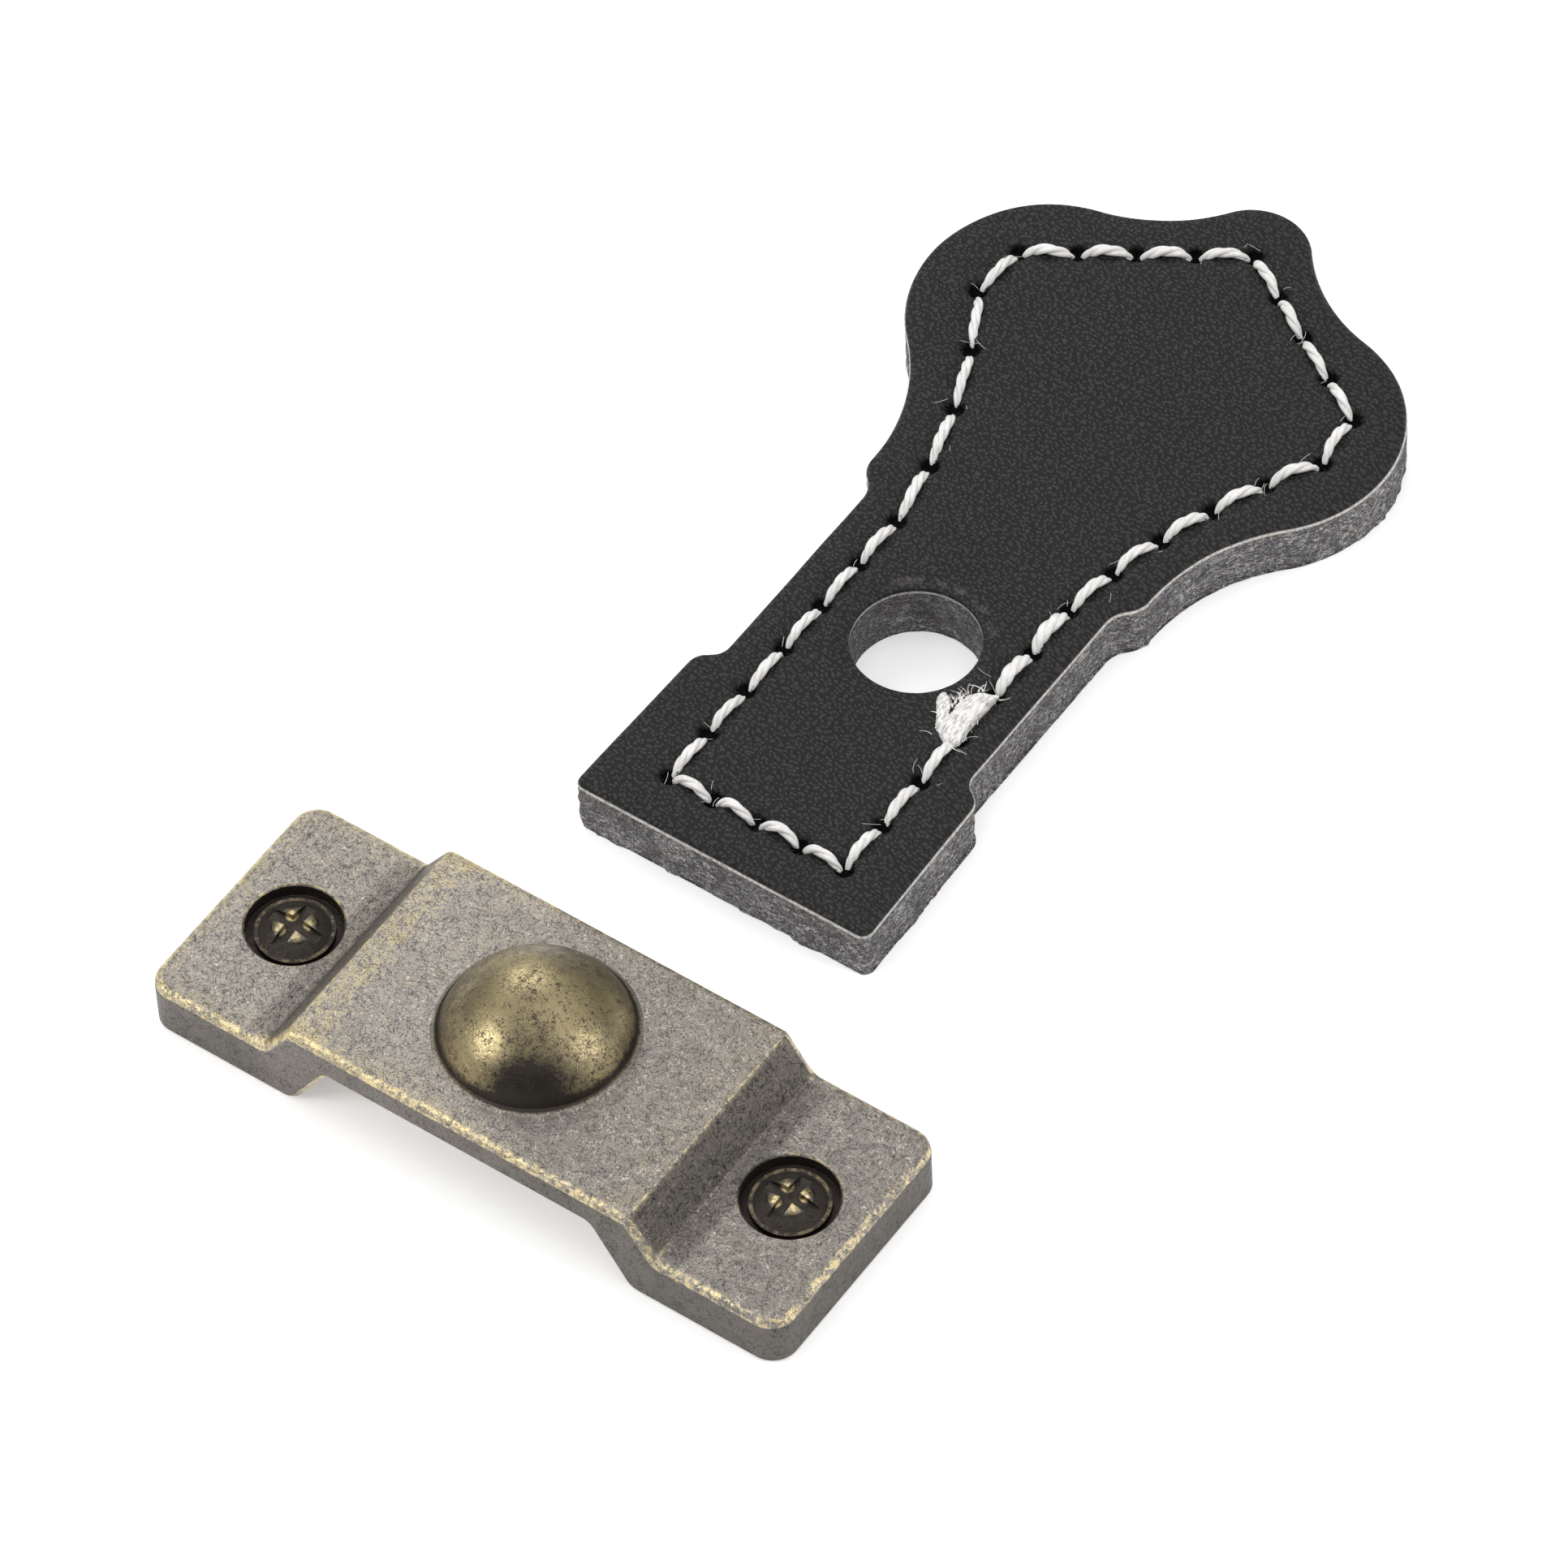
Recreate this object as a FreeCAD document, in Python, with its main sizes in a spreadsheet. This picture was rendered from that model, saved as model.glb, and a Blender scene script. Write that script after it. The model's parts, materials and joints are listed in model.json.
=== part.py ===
import FreeCAD, Part

import math
import os
import re

import Sketcher

# Leather pull taken apart: a cast bracket, and the stitched leather tab that it clamps.
# The row frame has X along the bracket, Y from the bracket to the tab's tip and Z up.
# Its origin is at the middle of the area that the two parts lie on.

document = FreeCAD.newDocument("LeatherPull")

# Driving dimensions in millimetres
SIZES = {
    # Cast bracket: strap
    "bracket_length": 55.2,
    "bracket_width": 20.0,
    "ear_height": 4.7,
    "bridge_height": 8.0,
    "strap_gap": 5.2,
    "step_foot_span": 33.9,
    "step_crest_span": 29.4,
    "leg_foot_span": 29.4,
    "leg_root_span": 22.8,
    "corner_radius": 2.0,
    "rim_radius": 0.8,
    "base_rim_chamfer": 0.3,
    "step_foot_radius": 0.9,
    "step_crest_radius": 0.5,
    "leg_foot_radius": 1.4,
    "leg_root_radius": 0.8,
    # Cast bracket: dome and the post below it
    "dome_radius": 7.2,
    "dome_height": 5.2,
    "dome_foot_radius": 0.5,
    "post_clearance": 0.4,
    "post_setback": 0.2,
    "post_thread_radius": 1.65,
    "post_thread_depth": 9.0,
    # Cast bracket: recesses with imitation screw heads
    "recess_span": 43.2,
    "recess_radius": 3.6,
    "recess_depth": 1.2,
    "recess_rim_chamfer": 0.15,
    "head_gap": 0.65,
    "head_ring_width": 0.3,
    "head_ring_drop": 0.65,
    "head_dome_height": 0.9,
    "cross_width": 1.0,
    "cross_length": 4.3,
    "cross_depth": 0.65,
    # Leather tab: outline
    "lay_gap": 11.4,
    "tab_offset": 0.3,
    "tab_length": 73.7,
    "end_width": 25.7,
    "shoulder_width": 25.0,
    "waist_clearance": 0.6,
    "waist_start": 16.6,
    "waist_end": 33.6,
    "shoulder_run": 2.8,
    "flare_width": 24.7,
    "flare_start": 37.0,
    "flare_share": 0.58,
    "fan_width": 40.4,
    "fan_distance": 56.2,
    "lobe_radius": 10.6,
    "tip_radius": 4.5,
    "tip_hollow_radius": 14.0,
    "end_corner_radius": 0.8,
    # Leather tab: layers and hole
    "core_thickness": 4.4,
    "face_thickness": 0.8,
    "face_rim_chamfer": 0.45,
    "hole_radius": 4.9,
    "hole_distance": 24.4,
    "punch_offset": 0.35,
    # Seam: line of the needle holes, measured from the punched centre line
    "seam_end_margin": 4.3,
    "seam_neck_width": 15.3,
    "seam_flare_start": 33.0,
    "seam_flare_sag": 1.3,
    "seam_fan_width": 30.7,
    "seam_fan_distance": 54.8,
    "seam_lobe_width": 29.8,
    "seam_lobe_distance": 59.6,
    "seam_tip_distance": 68.9,
    # Seam: threads
    "thread_radius": 0.44,
    "thread_leg_radius": 0.48,
    "thread_leg_rise": 0.35,
    "stitch_rise": 0.1,
    "stitch_dip": 0.28,
    "stitch_setback": 0.18,
    "stitch_knee": 0.27,
    "back_thread_radius": 0.35,
    "back_leg_radius": 0.4,
    "thread_meeting_height": 2.3,
    "thread_room": 0.05,
    # Seam: melted thread end
    "melt_distance": 20.4,
    "melt_length": 5.8,
    "melt_radius": 1.15,
    "melt_height": 0.8,
    "melt_tail_length": 3.4,
    "melt_tail_radius": 0.35,
    "melt_tail_angle": 132.0,
}

# Stitches along each stretch of the seam
END_STITCHES = 4
NECK_STITCHES = 6
RIGHT_FLARE_STITCHES = 5
LEFT_FLARE_STITCHES = 4
LOBE_STITCHES = 1
TIP_STITCHES = 4

# Facets round each thread
THREAD_SIDES = 6
BACK_THREAD_SIDES = 4

SHEET = "Sizes"
sheet = document.addObject("Spreadsheet::Sheet", SHEET)
for row, (alias, number) in enumerate(SIZES.items(), start=1):
    sheet.set(f"A{row}", alias)
    sheet.set(f"B{row}", str(number))
    sheet.setAlias(f"B{row}", alias)
document.recompute()


def size(alias):
    """Give a driving dimension as the sheet holds it."""
    return float(sheet.get(alias))


def link(formula):
    """Turn a formula of plain aliases into one that names the sheet."""
    return re.sub(r"[a-z_]+", lambda word: f"{SHEET}.{word[0]}" if word[0] in SIZES else word[0], formula)


def worked_out(holder, formula):
    """Give the number that a formula of aliases has now."""
    return float(holder.evalExpression(link(formula)))


def tie(item, path, formula):
    """Bind one property to a formula of aliases."""
    item.setExpression(path, link(formula))


# Helpers for bodies and sketches

def new_body(name):
    return document.addObject("PartDesign::Body", name)


def origin_plane(body, role):
    return next(item for item in body.Origin.OriginFeatures if item.Role == role)


def new_sketch(body, name, role, height=None):
    """Start a sketch on one of the body's own planes, or at a height above it."""
    sketch = body.newObject("Sketcher::SketchObject", name)
    sketch.AttachmentSupport = [(origin_plane(body, role), "")]
    sketch.MapMode = "FlatFace"
    if height is not None:
        tie(sketch, "AttachmentOffset.Base.z", height)
    return sketch


def constrain(sketch, kind, *where, formula=None):
    """Add a constraint, driven by a formula where it has a value."""
    if formula is None:
        return sketch.addConstraint(Sketcher.Constraint(kind, *where))
    index = sketch.addConstraint(Sketcher.Constraint(kind, *where, worked_out(sketch, formula)))
    tie(sketch, f"Constraints[{index}]", formula)
    return index


def pin_across(sketch, curve, end, formula):
    """Fix how far a point lies across from the sketch's upright axis."""
    distance = worked_out(sketch, formula)
    if abs(distance) < 1e-9:
        constrain(sketch, "PointOnObject", curve, end, -2)
    elif distance > 0:
        constrain(sketch, "DistanceX", -1, 1, curve, end, formula=formula)
    else:
        constrain(sketch, "DistanceX", curve, end, -1, 1, formula=f"0 - ({formula})")


def pin_up(sketch, curve, end, formula):
    """Fix how far a point lies up from the sketch's level axis."""
    distance = worked_out(sketch, formula)
    if abs(distance) < 1e-9:
        constrain(sketch, "PointOnObject", curve, end, -1)
    elif distance > 0:
        constrain(sketch, "DistanceY", -1, 1, curve, end, formula=formula)
    else:
        constrain(sketch, "DistanceY", curve, end, -1, 1, formula=f"0 - ({formula})")


def pin(sketch, curve, end, across, up):
    pin_across(sketch, curve, end, across)
    pin_up(sketch, curve, end, up)


def end_near(sketch, curve, point):
    """Tell which end of a curve, 1 or 2, lies at a point."""
    first = sketch.getPoint(curve, 1).distanceToPoint(point)
    second = sketch.getPoint(curve, 2).distanceToPoint(point)
    return 1 if first < second else 2


def arc_middle(start, finish, radius, side):
    """Give the middle of an arc that bulges to the left of its run for side 1, right for -1."""
    chord = finish - start
    half = chord.Length / 2
    rise = radius - math.sqrt(max(radius ** 2 - half ** 2, 0.0))
    left = FreeCAD.Vector(-chord.y, chord.x, 0).normalize()
    return (start + finish) * 0.5 + left * (side * rise)


def draw_outline(sketch, steps):
    """Draw a closed outline. Each step is (across, up) for a line to the next point, or
    (across, up, radius, side) for an arc to it. All but side are formulas of aliases."""
    points = [FreeCAD.Vector(worked_out(sketch, step[0]), worked_out(sketch, step[1]), 0) for step in steps]
    curves = []
    for number, step in enumerate(steps):
        start = points[number]
        finish = points[(number + 1) % len(points)]
        if len(step) == 2:
            shape = Part.LineSegment(start, finish)
        else:
            shape = Part.Arc(start, arc_middle(start, finish, worked_out(sketch, step[2]), step[3]), finish)
        curves.append(sketch.addGeometry(shape, False))
    for number, step in enumerate(steps):
        curve = curves[number]
        before = curves[number - 1]
        here = end_near(sketch, curve, points[number])
        constrain(sketch, "Coincident", before, end_near(sketch, before, points[number]), curve, here)
        pin(sketch, curve, here, step[0], step[1])
        if len(step) > 2:
            constrain(sketch, "Radius", curve, formula=step[2])


def draw_circle(sketch, across, up, radius):
    """Draw a circle from three formulas."""
    centre = FreeCAD.Vector(worked_out(sketch, across), worked_out(sketch, up), 0)
    ring = Part.Circle(centre, FreeCAD.Vector(0, 0, 1), worked_out(sketch, radius))
    curve = sketch.addGeometry(ring, False)
    pin(sketch, curve, 3, across, up)
    constrain(sketch, "Radius", curve, formula=radius)


def draw_upright_axis(sketch, across, up):
    """Draw a construction line that stands on the level axis, to turn a profile about."""
    foot = FreeCAD.Vector(worked_out(sketch, across), 0, 0)
    head = FreeCAD.Vector(worked_out(sketch, across), worked_out(sketch, up), 0)
    curve = sketch.addGeometry(Part.LineSegment(foot, head), True)
    pin(sketch, curve, 1, across, "0")
    pin(sketch, curve, 2, across, up)


# Helpers for features

def compute(feature):
    """Compute the document and make sure that a new feature came out."""
    document.recompute()
    if feature.Shape.isNull() or "Invalid" in feature.State or "Error" in feature.State:
        raise RuntimeError(f"{feature.Label} is {feature.State}")
    return feature


def pad(body, name, sketch, length, middle=False):
    feature = body.newObject("PartDesign::Pad", name)
    feature.Profile = sketch
    feature.Midplane = middle
    tie(feature, "Length", length)
    return compute(feature)


def pocket(body, name, sketch, depth, upwards=False):
    """Cut a sketch's area out of the body, down from the sketch or up from it."""
    feature = body.newObject("PartDesign::Pocket", name)
    feature.Profile = sketch
    feature.Reversed = upwards
    tie(feature, "Length", depth)
    before = feature.BaseFeature.Shape.Volume
    if compute(feature).Shape.Volume > before - 1e-6:
        raise RuntimeError(f"{name} cuts nothing")
    return feature


def revolve(body, name, sketch, axis):
    feature = body.newObject("PartDesign::Revolution", name)
    feature.Profile = sketch
    feature.ReferenceAxis = (sketch, [axis])
    feature.Angle = 360
    return compute(feature)


def mirror(body, name, features):
    """Repeat features on the other side of the body's middle plane."""
    feature = body.newObject("PartDesign::Mirrored", name)
    feature.Originals = features
    feature.MirrorPlane = (origin_plane(body, "YZ_Plane"), [""])
    body.Tip = feature
    return compute(feature)


def edges_where(shape, test):
    return [f"Edge{number}" for number, edge in enumerate(shape.Edges, start=1)
            if not edge.Degenerated and test(edge)]


def fillet(body, name, radius, test):
    """Round the edges of the body so far that pass a test."""
    base = body.Tip
    edges = edges_where(base.Shape, test)
    if not edges:
        raise RuntimeError(f"{name} finds no edge")
    feature = body.newObject("PartDesign::Fillet", name)
    feature.Base = (base, edges)
    tie(feature, "Radius", radius)
    return compute(feature)


def chamfer(body, name, width, test):
    """Break the edges of the body so far that pass a test."""
    base = body.Tip
    edges = edges_where(base.Shape, test)
    if not edges:
        raise RuntimeError(f"{name} finds no edge")
    feature = body.newObject("PartDesign::Chamfer", name)
    feature.Base = (base, edges)
    tie(feature, "Size", width)
    return compute(feature)


def near(first, second, tolerance=0.01):
    return abs(first - second) < tolerance


def edge_runs(edge, direction):
    """Tell whether a straight edge is parallel to a direction."""
    if edge.Curve.TypeId != "Part::GeomLine":
        return False
    return abs(abs(edge.tangentAt(edge.FirstParameter).dot(direction)) - 1) < 1e-4


ALONG_X = FreeCAD.Vector(1, 0, 0)
ALONG_Y = FreeCAD.Vector(0, 1, 0)
UPRIGHT = FreeCAD.Vector(0, 0, 1)
LYING_LENGTH = "(bracket_width + lay_gap + tab_length)"

# Cast bracket

bracket = new_body("bracket")

strap_sketch = new_sketch(bracket, "strap_profile", "XZ_Plane")
right_side = [
    ("leg_root_span / 2", "strap_gap"),
    ("leg_foot_span / 2", "0"),
    ("bracket_length / 2", "0"),
    ("bracket_length / 2", "ear_height"),
    ("step_foot_span / 2", "ear_height"),
    ("step_crest_span / 2", "bridge_height"),
]
left_side = [(f"0 - ({across})", up) for across, up in reversed(right_side)]
draw_outline(strap_sketch, right_side + left_side)
pad(bracket, "strap", strap_sketch, "bracket_width", middle=True)

fillet(bracket, "ear_corners", "corner_radius",
       lambda edge: edge_runs(edge, UPRIGHT) and near(abs(edge.CenterOfMass.x), size("bracket_length") / 2))


def step_edges(span, level):
    """Make a test for the edges across the strap at a step of its profile."""
    return lambda edge: (edge_runs(edge, ALONG_Y) and near(abs(edge.CenterOfMass.x), size(span) / 2)
                         and near(edge.CenterOfMass.z, level))


fillet(bracket, "step_feet", "step_foot_radius", step_edges("step_foot_span", size("ear_height")))
fillet(bracket, "step_crests", "step_crest_radius", step_edges("step_crest_span", size("bridge_height")))
fillet(bracket, "leg_roots", "leg_root_radius", step_edges("leg_root_span", size("strap_gap")))
fillet(bracket, "leg_feet", "leg_foot_radius", step_edges("leg_foot_span", 0.0))


def on_side_wall(edge):
    """Tell whether an edge runs along the rim of the strap's side wall."""
    if edge_runs(edge, UPRIGHT):
        return False
    for point in edge.discretize(5):
        on_long_side = near(abs(point.y), size("bracket_width") / 2)
        at_ear_end = abs(point.x) > size("bracket_length") / 2 - size("corner_radius") - 0.01
        if not (on_long_side or at_ear_end):
            return False
    return True


def on_top_rim(edge):
    middle = edge.CenterOfMass
    upper = middle.z > size("bridge_height") - 0.01 or abs(middle.x) > size("step_crest_span") / 2 - 0.3
    return on_side_wall(edge) and upper and middle.z > size("ear_height") - 0.01


def on_base_rim(edge):
    return on_side_wall(edge) and not on_top_rim(edge) and edge.CenterOfMass.z < size("strap_gap") + 0.01


fillet(bracket, "top_rim", "rim_radius", on_top_rim)
chamfer(bracket, "base_rim", "base_rim_chamfer", on_base_rim)

# Cast bracket: dome on the bridge, a spherical cap with a small sloping foot
DOME_SPHERE = "((dome_radius ^ 2 + dome_height ^ 2) / (2 * dome_height))"
DOME_CENTRE = f"(bridge_height + dome_height - {DOME_SPHERE})"
FOOT_REACH = f"(sqrt(({DOME_SPHERE} + dome_foot_radius) ^ 2" \
             f" - ({DOME_SPHERE} - dome_height + dome_foot_radius) ^ 2))"
FOOT_SHARE = f"({DOME_SPHERE} / ({DOME_SPHERE} + dome_foot_radius))"
dome_sketch = new_sketch(bracket, "dome_profile", "XZ_Plane")
draw_outline(dome_sketch, [
    ("0", "(strap_gap + bridge_height) / 2"),
    (FOOT_REACH, "(strap_gap + bridge_height) / 2"),
    (FOOT_REACH, "bridge_height"),
    (f"{FOOT_REACH} * {FOOT_SHARE}",
     f"{DOME_CENTRE} + (bridge_height + dome_foot_radius - {DOME_CENTRE}) * {FOOT_SHARE}", DOME_SPHERE, -1),
    ("0", "bridge_height + dome_height"),
])
revolve(bracket, "dome", dome_sketch, "V_Axis")

# Cast bracket: threaded post that the tab's hole goes over
post_sketch = new_sketch(bracket, "post_circle", "XY_Plane", "post_setback")
draw_circle(post_sketch, "0", "0", "hole_radius - post_clearance")
pad(bracket, "post", post_sketch, "(strap_gap + bridge_height) / 2 - post_setback")
bore_sketch = new_sketch(bracket, "post_bore_circle", "XY_Plane", "post_setback")
draw_circle(bore_sketch, "0", "0", "post_thread_radius")
pocket(bracket, "post_bore", bore_sketch, "post_thread_depth", upwards=True)

# Cast bracket: round recess in each ear, with the imitation screw head that is cast in it
recess_sketch = new_sketch(bracket, "recess_circle", "XY_Plane", "ear_height")
draw_circle(recess_sketch, "recess_span / 2", "0", "recess_radius")
recess = pocket(bracket, "recess", recess_sketch, "recess_depth")

RING_RADIUS = "(recess_radius - head_gap)"
CAP_RADIUS = f"({RING_RADIUS} - head_ring_width)"
RING_TOP = "(ear_height - head_ring_drop)"
CAP_SPHERE = f"(({CAP_RADIUS} ^ 2 + head_dome_height ^ 2) / (2 * head_dome_height))"
head_sketch = new_sketch(bracket, "head_profile", "XZ_Plane")
draw_outline(head_sketch, [
    ("recess_span / 2", "ear_height - 2 * recess_depth"),
    (f"recess_span / 2 + {RING_RADIUS}", "ear_height - 2 * recess_depth"),
    (f"recess_span / 2 + {RING_RADIUS}", RING_TOP),
    (f"recess_span / 2 + {CAP_RADIUS}", RING_TOP, CAP_SPHERE, -1),
    ("recess_span / 2", f"{RING_TOP} + head_dome_height"),
])
draw_upright_axis(head_sketch, "recess_span / 2", "ear_height")
head = revolve(bracket, "head", head_sketch, "Axis0")

cross_sketch = new_sketch(bracket, "cross_outline", "XY_Plane", f"{RING_TOP} + head_dome_height")
centre_across = "recess_span / 2"
draw_outline(cross_sketch, [
    (f"{centre_across} + {across}", up) for across, up in [
        ("cross_width / 2", "cross_width / 2"),
        ("cross_width / 2", "cross_length / 2"),
        ("0 - cross_width / 2", "cross_length / 2"),
        ("0 - cross_width / 2", "cross_width / 2"),
        ("0 - cross_length / 2", "cross_width / 2"),
        ("0 - cross_length / 2", "0 - cross_width / 2"),
        ("0 - cross_width / 2", "0 - cross_width / 2"),
        ("0 - cross_width / 2", "0 - cross_length / 2"),
        ("cross_width / 2", "0 - cross_length / 2"),
        ("cross_width / 2", "0 - cross_width / 2"),
        ("cross_length / 2", "0 - cross_width / 2"),
        ("cross_length / 2", "cross_width / 2"),
    ]
])
cross = pocket(bracket, "cross", cross_sketch, "cross_depth")
mirror(bracket, "left_recess_and_head", [recess, head, cross])
chamfer(bracket, "recess_rims", "recess_rim_chamfer",
        lambda edge: edge.Curve.TypeId == "Part::GeomCircle" and near(edge.Curve.Radius, size("recess_radius"))
       and near(edge.BoundBox.ZMin, size("ear_height")))
tie(bracket, "Placement.Base.y", f"(bracket_width - {LYING_LENGTH}) / 2")

# Leather tab: one outline for both layers, drawn for the right half

WAIST_WIDTH = "(leg_root_span - 2 * waist_clearance)"


def ease_over(start, finish, share):
    """Give the two steps of a curve whose ends are both parallel to the tab's length.
    The first arc takes its share of the way and the second the rest."""
    (start_across, start_up), (finish_across, finish_up) = start, finish
    across = f"({finish_across} - ({start_across}))"
    up = f"({finish_up} - ({start_up}))"
    turn = f"(({across} ^ 2 + {up} ^ 2) / (2 * abs({across})))"
    side = -1 if worked_out(sheet, across) < 0 else 1
    return [
        (start_across, start_up, f"{share} * {turn}", side),
        (f"{start_across} + {share} * {across}", f"{start_up} + {share} * {up}",
         f"(1 - {share}) * {turn}", -side),
    ]


def tip_tangents():
    """Find where the hollow beside the tip meets the lobe and the tip, for a first drawing."""
    lobe = FreeCAD.Vector(size("fan_width") / 2 - size("lobe_radius"), size("fan_distance"), 0)
    tip = FreeCAD.Vector(0, size("tab_length") - size("tip_radius"), 0)
    to_lobe = size("lobe_radius") + size("tip_hollow_radius")
    to_tip = size("tip_radius") + size("tip_hollow_radius")
    between = tip - lobe
    along = (to_lobe ** 2 - to_tip ** 2 + between.Length ** 2) / (2 * between.Length)
    aside = math.sqrt(to_lobe ** 2 - along ** 2)
    direction = FreeCAD.Vector(between).normalize()
    outward = FreeCAD.Vector(direction.y, -direction.x, 0)
    hollow = lobe + direction * along + outward * aside
    return lobe, tip, hollow


def tab_outline(body, name):
    """Sketch the right half of the tab, from its cut end over the waist and fan to the tip."""
    sketch = new_sketch(body, name, "XY_Plane")
    shoulder = ("shoulder_width / 2", "waist_start - shoulder_run")
    waist_foot = (f"{WAIST_WIDTH} / 2", "waist_start")
    waist_head = (f"{WAIST_WIDTH} / 2", "waist_end")
    flare = ("flare_width / 2", "flare_start")
    fan = ("fan_width / 2", "fan_distance")
    steps = [("0", "0"), ("end_width / 2", "0")]
    steps += ease_over(shoulder, waist_foot, "0.5")
    steps += [waist_foot]
    steps += ease_over(waist_head, flare, "0.5")
    steps += ease_over(flare, fan, "flare_share")
    steps += [fan]
    return sketch, steps


def draw_tab(body, name):
    """Draw the half outline, with the lobe, the hollow and the tip as arcs tangent to each other."""
    sketch, steps = tab_outline(body, name)
    points = [FreeCAD.Vector(worked_out(sketch, step[0]), worked_out(sketch, step[1]), 0) for step in steps]
    curves = []
    for number, step in enumerate(steps[:-1]):
        start, finish = points[number], points[number + 1]
        if len(step) == 2:
            shape = Part.LineSegment(start, finish)
        else:
            shape = Part.Arc(start, arc_middle(start, finish, worked_out(sketch, step[2]), step[3]), finish)
        curves.append(sketch.addGeometry(shape, False))
    lobe_centre, tip_centre, hollow_centre = tip_tangents()
    lobe_end = lobe_centre + (hollow_centre - lobe_centre).normalize() * size("lobe_radius")
    tip_start = tip_centre + (hollow_centre - tip_centre).normalize() * size("tip_radius")
    tip_end = FreeCAD.Vector(0, size("tab_length"), 0)
    arcs = [(points[-1], lobe_end, "lobe_radius", -1), (lobe_end, tip_start, "tip_hollow_radius", 1),
            (tip_start, tip_end, "tip_radius", -1)]
    for start, finish, radius, side in arcs:
        middle = arc_middle(start, finish, size(radius), side)
        curves.append(sketch.addGeometry(Part.Arc(start, middle, finish), False))
    curves.append(sketch.addGeometry(Part.LineSegment(tip_end, points[0]), False))
    joints = points + [lobe_end, tip_start, tip_end]
    lobe, hollow, tip = curves[-4:-1]
    for number, joint in enumerate(joints):
        curve, before = curves[number], curves[number - 1]
        here, there = end_near(sketch, curve, joint), end_near(sketch, before, joint)
        smooth = curve in (hollow, tip)
        constrain(sketch, "Tangent" if smooth else "Coincident", before, there, curve, here)
        if number < len(steps):
            pin(sketch, curve, here, *steps[number][:2])
            if len(steps[number]) > 2:
                constrain(sketch, "Radius", curve, formula=steps[number][2])
    constrain(sketch, "Radius", lobe, formula="lobe_radius")
    constrain(sketch, "Radius", hollow, formula="tip_hollow_radius")
    constrain(sketch, "Radius", tip, formula="tip_radius")
    pin_up(sketch, lobe, 3, "fan_distance")
    constrain(sketch, "PointOnObject", tip, 3, -2)
    pin(sketch, tip, end_near(sketch, tip, tip_end), "0", "tab_length")
    return sketch


def tab_layer(name, thickness, base):
    """Make one layer of the tab, with its hole, at a height above the ground."""
    body = new_body(name)
    outline = draw_tab(body, f"{name}_outline")
    half = pad(body, f"{name}_half", outline, thickness)
    mirror(body, f"{name}_whole", [half])
    fillet(body, f"{name}_end_corners", "end_corner_radius",
           lambda edge: edge_runs(edge, UPRIGHT) and near(edge.CenterOfMass.y, 0.0))
    hole = new_sketch(body, f"{name}_hole_circle", "XY_Plane", thickness)
    draw_circle(hole, "punch_offset", "hole_distance", "hole_radius")
    pocket(body, f"{name}_hole", hole, thickness)
    tie(body, "Placement.Base.x", "tab_offset")
    tie(body, "Placement.Base.y", f"{LYING_LENGTH} / 2 - tab_length")
    tie(body, "Placement.Base.z", base)
    return body


core_slab = tab_layer("core_slab", "core_thickness", "0")
face_slab = tab_layer("face_slab", "face_thickness", "core_thickness")


def on_face_rim(edge):
    """Tell whether an edge runs round the upper side of the face layer, the hole left out."""
    flat_on_top = near(edge.BoundBox.ZMin, size("face_thickness"))
    is_hole = edge.Curve.TypeId == "Part::GeomCircle" and near(edge.Curve.Radius, size("hole_radius"))
    return flat_on_top and not is_hole


chamfer(face_slab, "face_rim", "face_rim_chamfer", on_face_rim)

# Seam: needle holes, and the threads that lie between them


def straight_stretch(start, finish, stitches):
    return [start + (finish - start) * (number / stitches) for number in range(stitches)]


def bowed_stretch(start, finish, sag, stitches):
    """Space needle holes along an arc that bulges to the right of its run."""
    chord = finish - start
    right = FreeCAD.Vector(chord.y, -chord.x, 0).normalize()
    arc = Part.Arc(start, (start + finish) * 0.5 + right * sag, finish).toShape()
    return arc.discretize(stitches + 1)[:-1]


def needle_holes():
    """Give the needle holes in the order of sewing, from the left end corner and round."""
    middle = size("punch_offset")
    end = size("seam_end_margin")

    def place(width, distance, side):
        return FreeCAD.Vector(middle + side * width / 2, distance, 0)

    neck = [place(size("seam_neck_width"), end, side) for side in (-1, 1)]
    flare = [place(size("seam_neck_width"), size("seam_flare_start"), side) for side in (-1, 1)]
    fan = [place(size("seam_fan_width"), size("seam_fan_distance"), side) for side in (-1, 1)]
    lobe = [place(size("seam_lobe_width"), size("seam_lobe_distance"), side) for side in (-1, 1)]
    tip = FreeCAD.Vector(middle, size("seam_tip_distance"), 0)
    sag = size("seam_flare_sag")
    holes = straight_stretch(neck[0], neck[1], END_STITCHES)
    holes += straight_stretch(neck[1], flare[1], NECK_STITCHES)
    holes += bowed_stretch(flare[1], fan[1], -sag, RIGHT_FLARE_STITCHES)
    holes += straight_stretch(fan[1], lobe[1], LOBE_STITCHES)
    holes += straight_stretch(lobe[1], tip, TIP_STITCHES)
    holes += straight_stretch(tip, lobe[0], TIP_STITCHES)
    holes += straight_stretch(lobe[0], fan[0], LOBE_STITCHES)
    holes += bowed_stretch(fan[0], flare[0], -sag, LEFT_FLARE_STITCHES)
    holes += straight_stretch(flare[0], neck[0], NECK_STITCHES)
    return holes


def raised(point, height):
    return FreeCAD.Vector(point.x, point.y, height)


def facet_corners(centre, first, second, radius, sides):
    """Give the corners of a section with a flat at the bottom, in the plane of two directions."""
    corner = radius / math.cos(math.pi / sides)
    angles = [math.pi / 2 + math.pi * (2 * number + 1) / sides for number in range(sides)]
    return [centre + first * (corner * math.cos(angle)) + second * (corner * math.sin(angle))
            for angle in angles]


def flat_face(corners):
    return Part.Face(Part.makePolygon(corners + corners[:1]))


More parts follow.
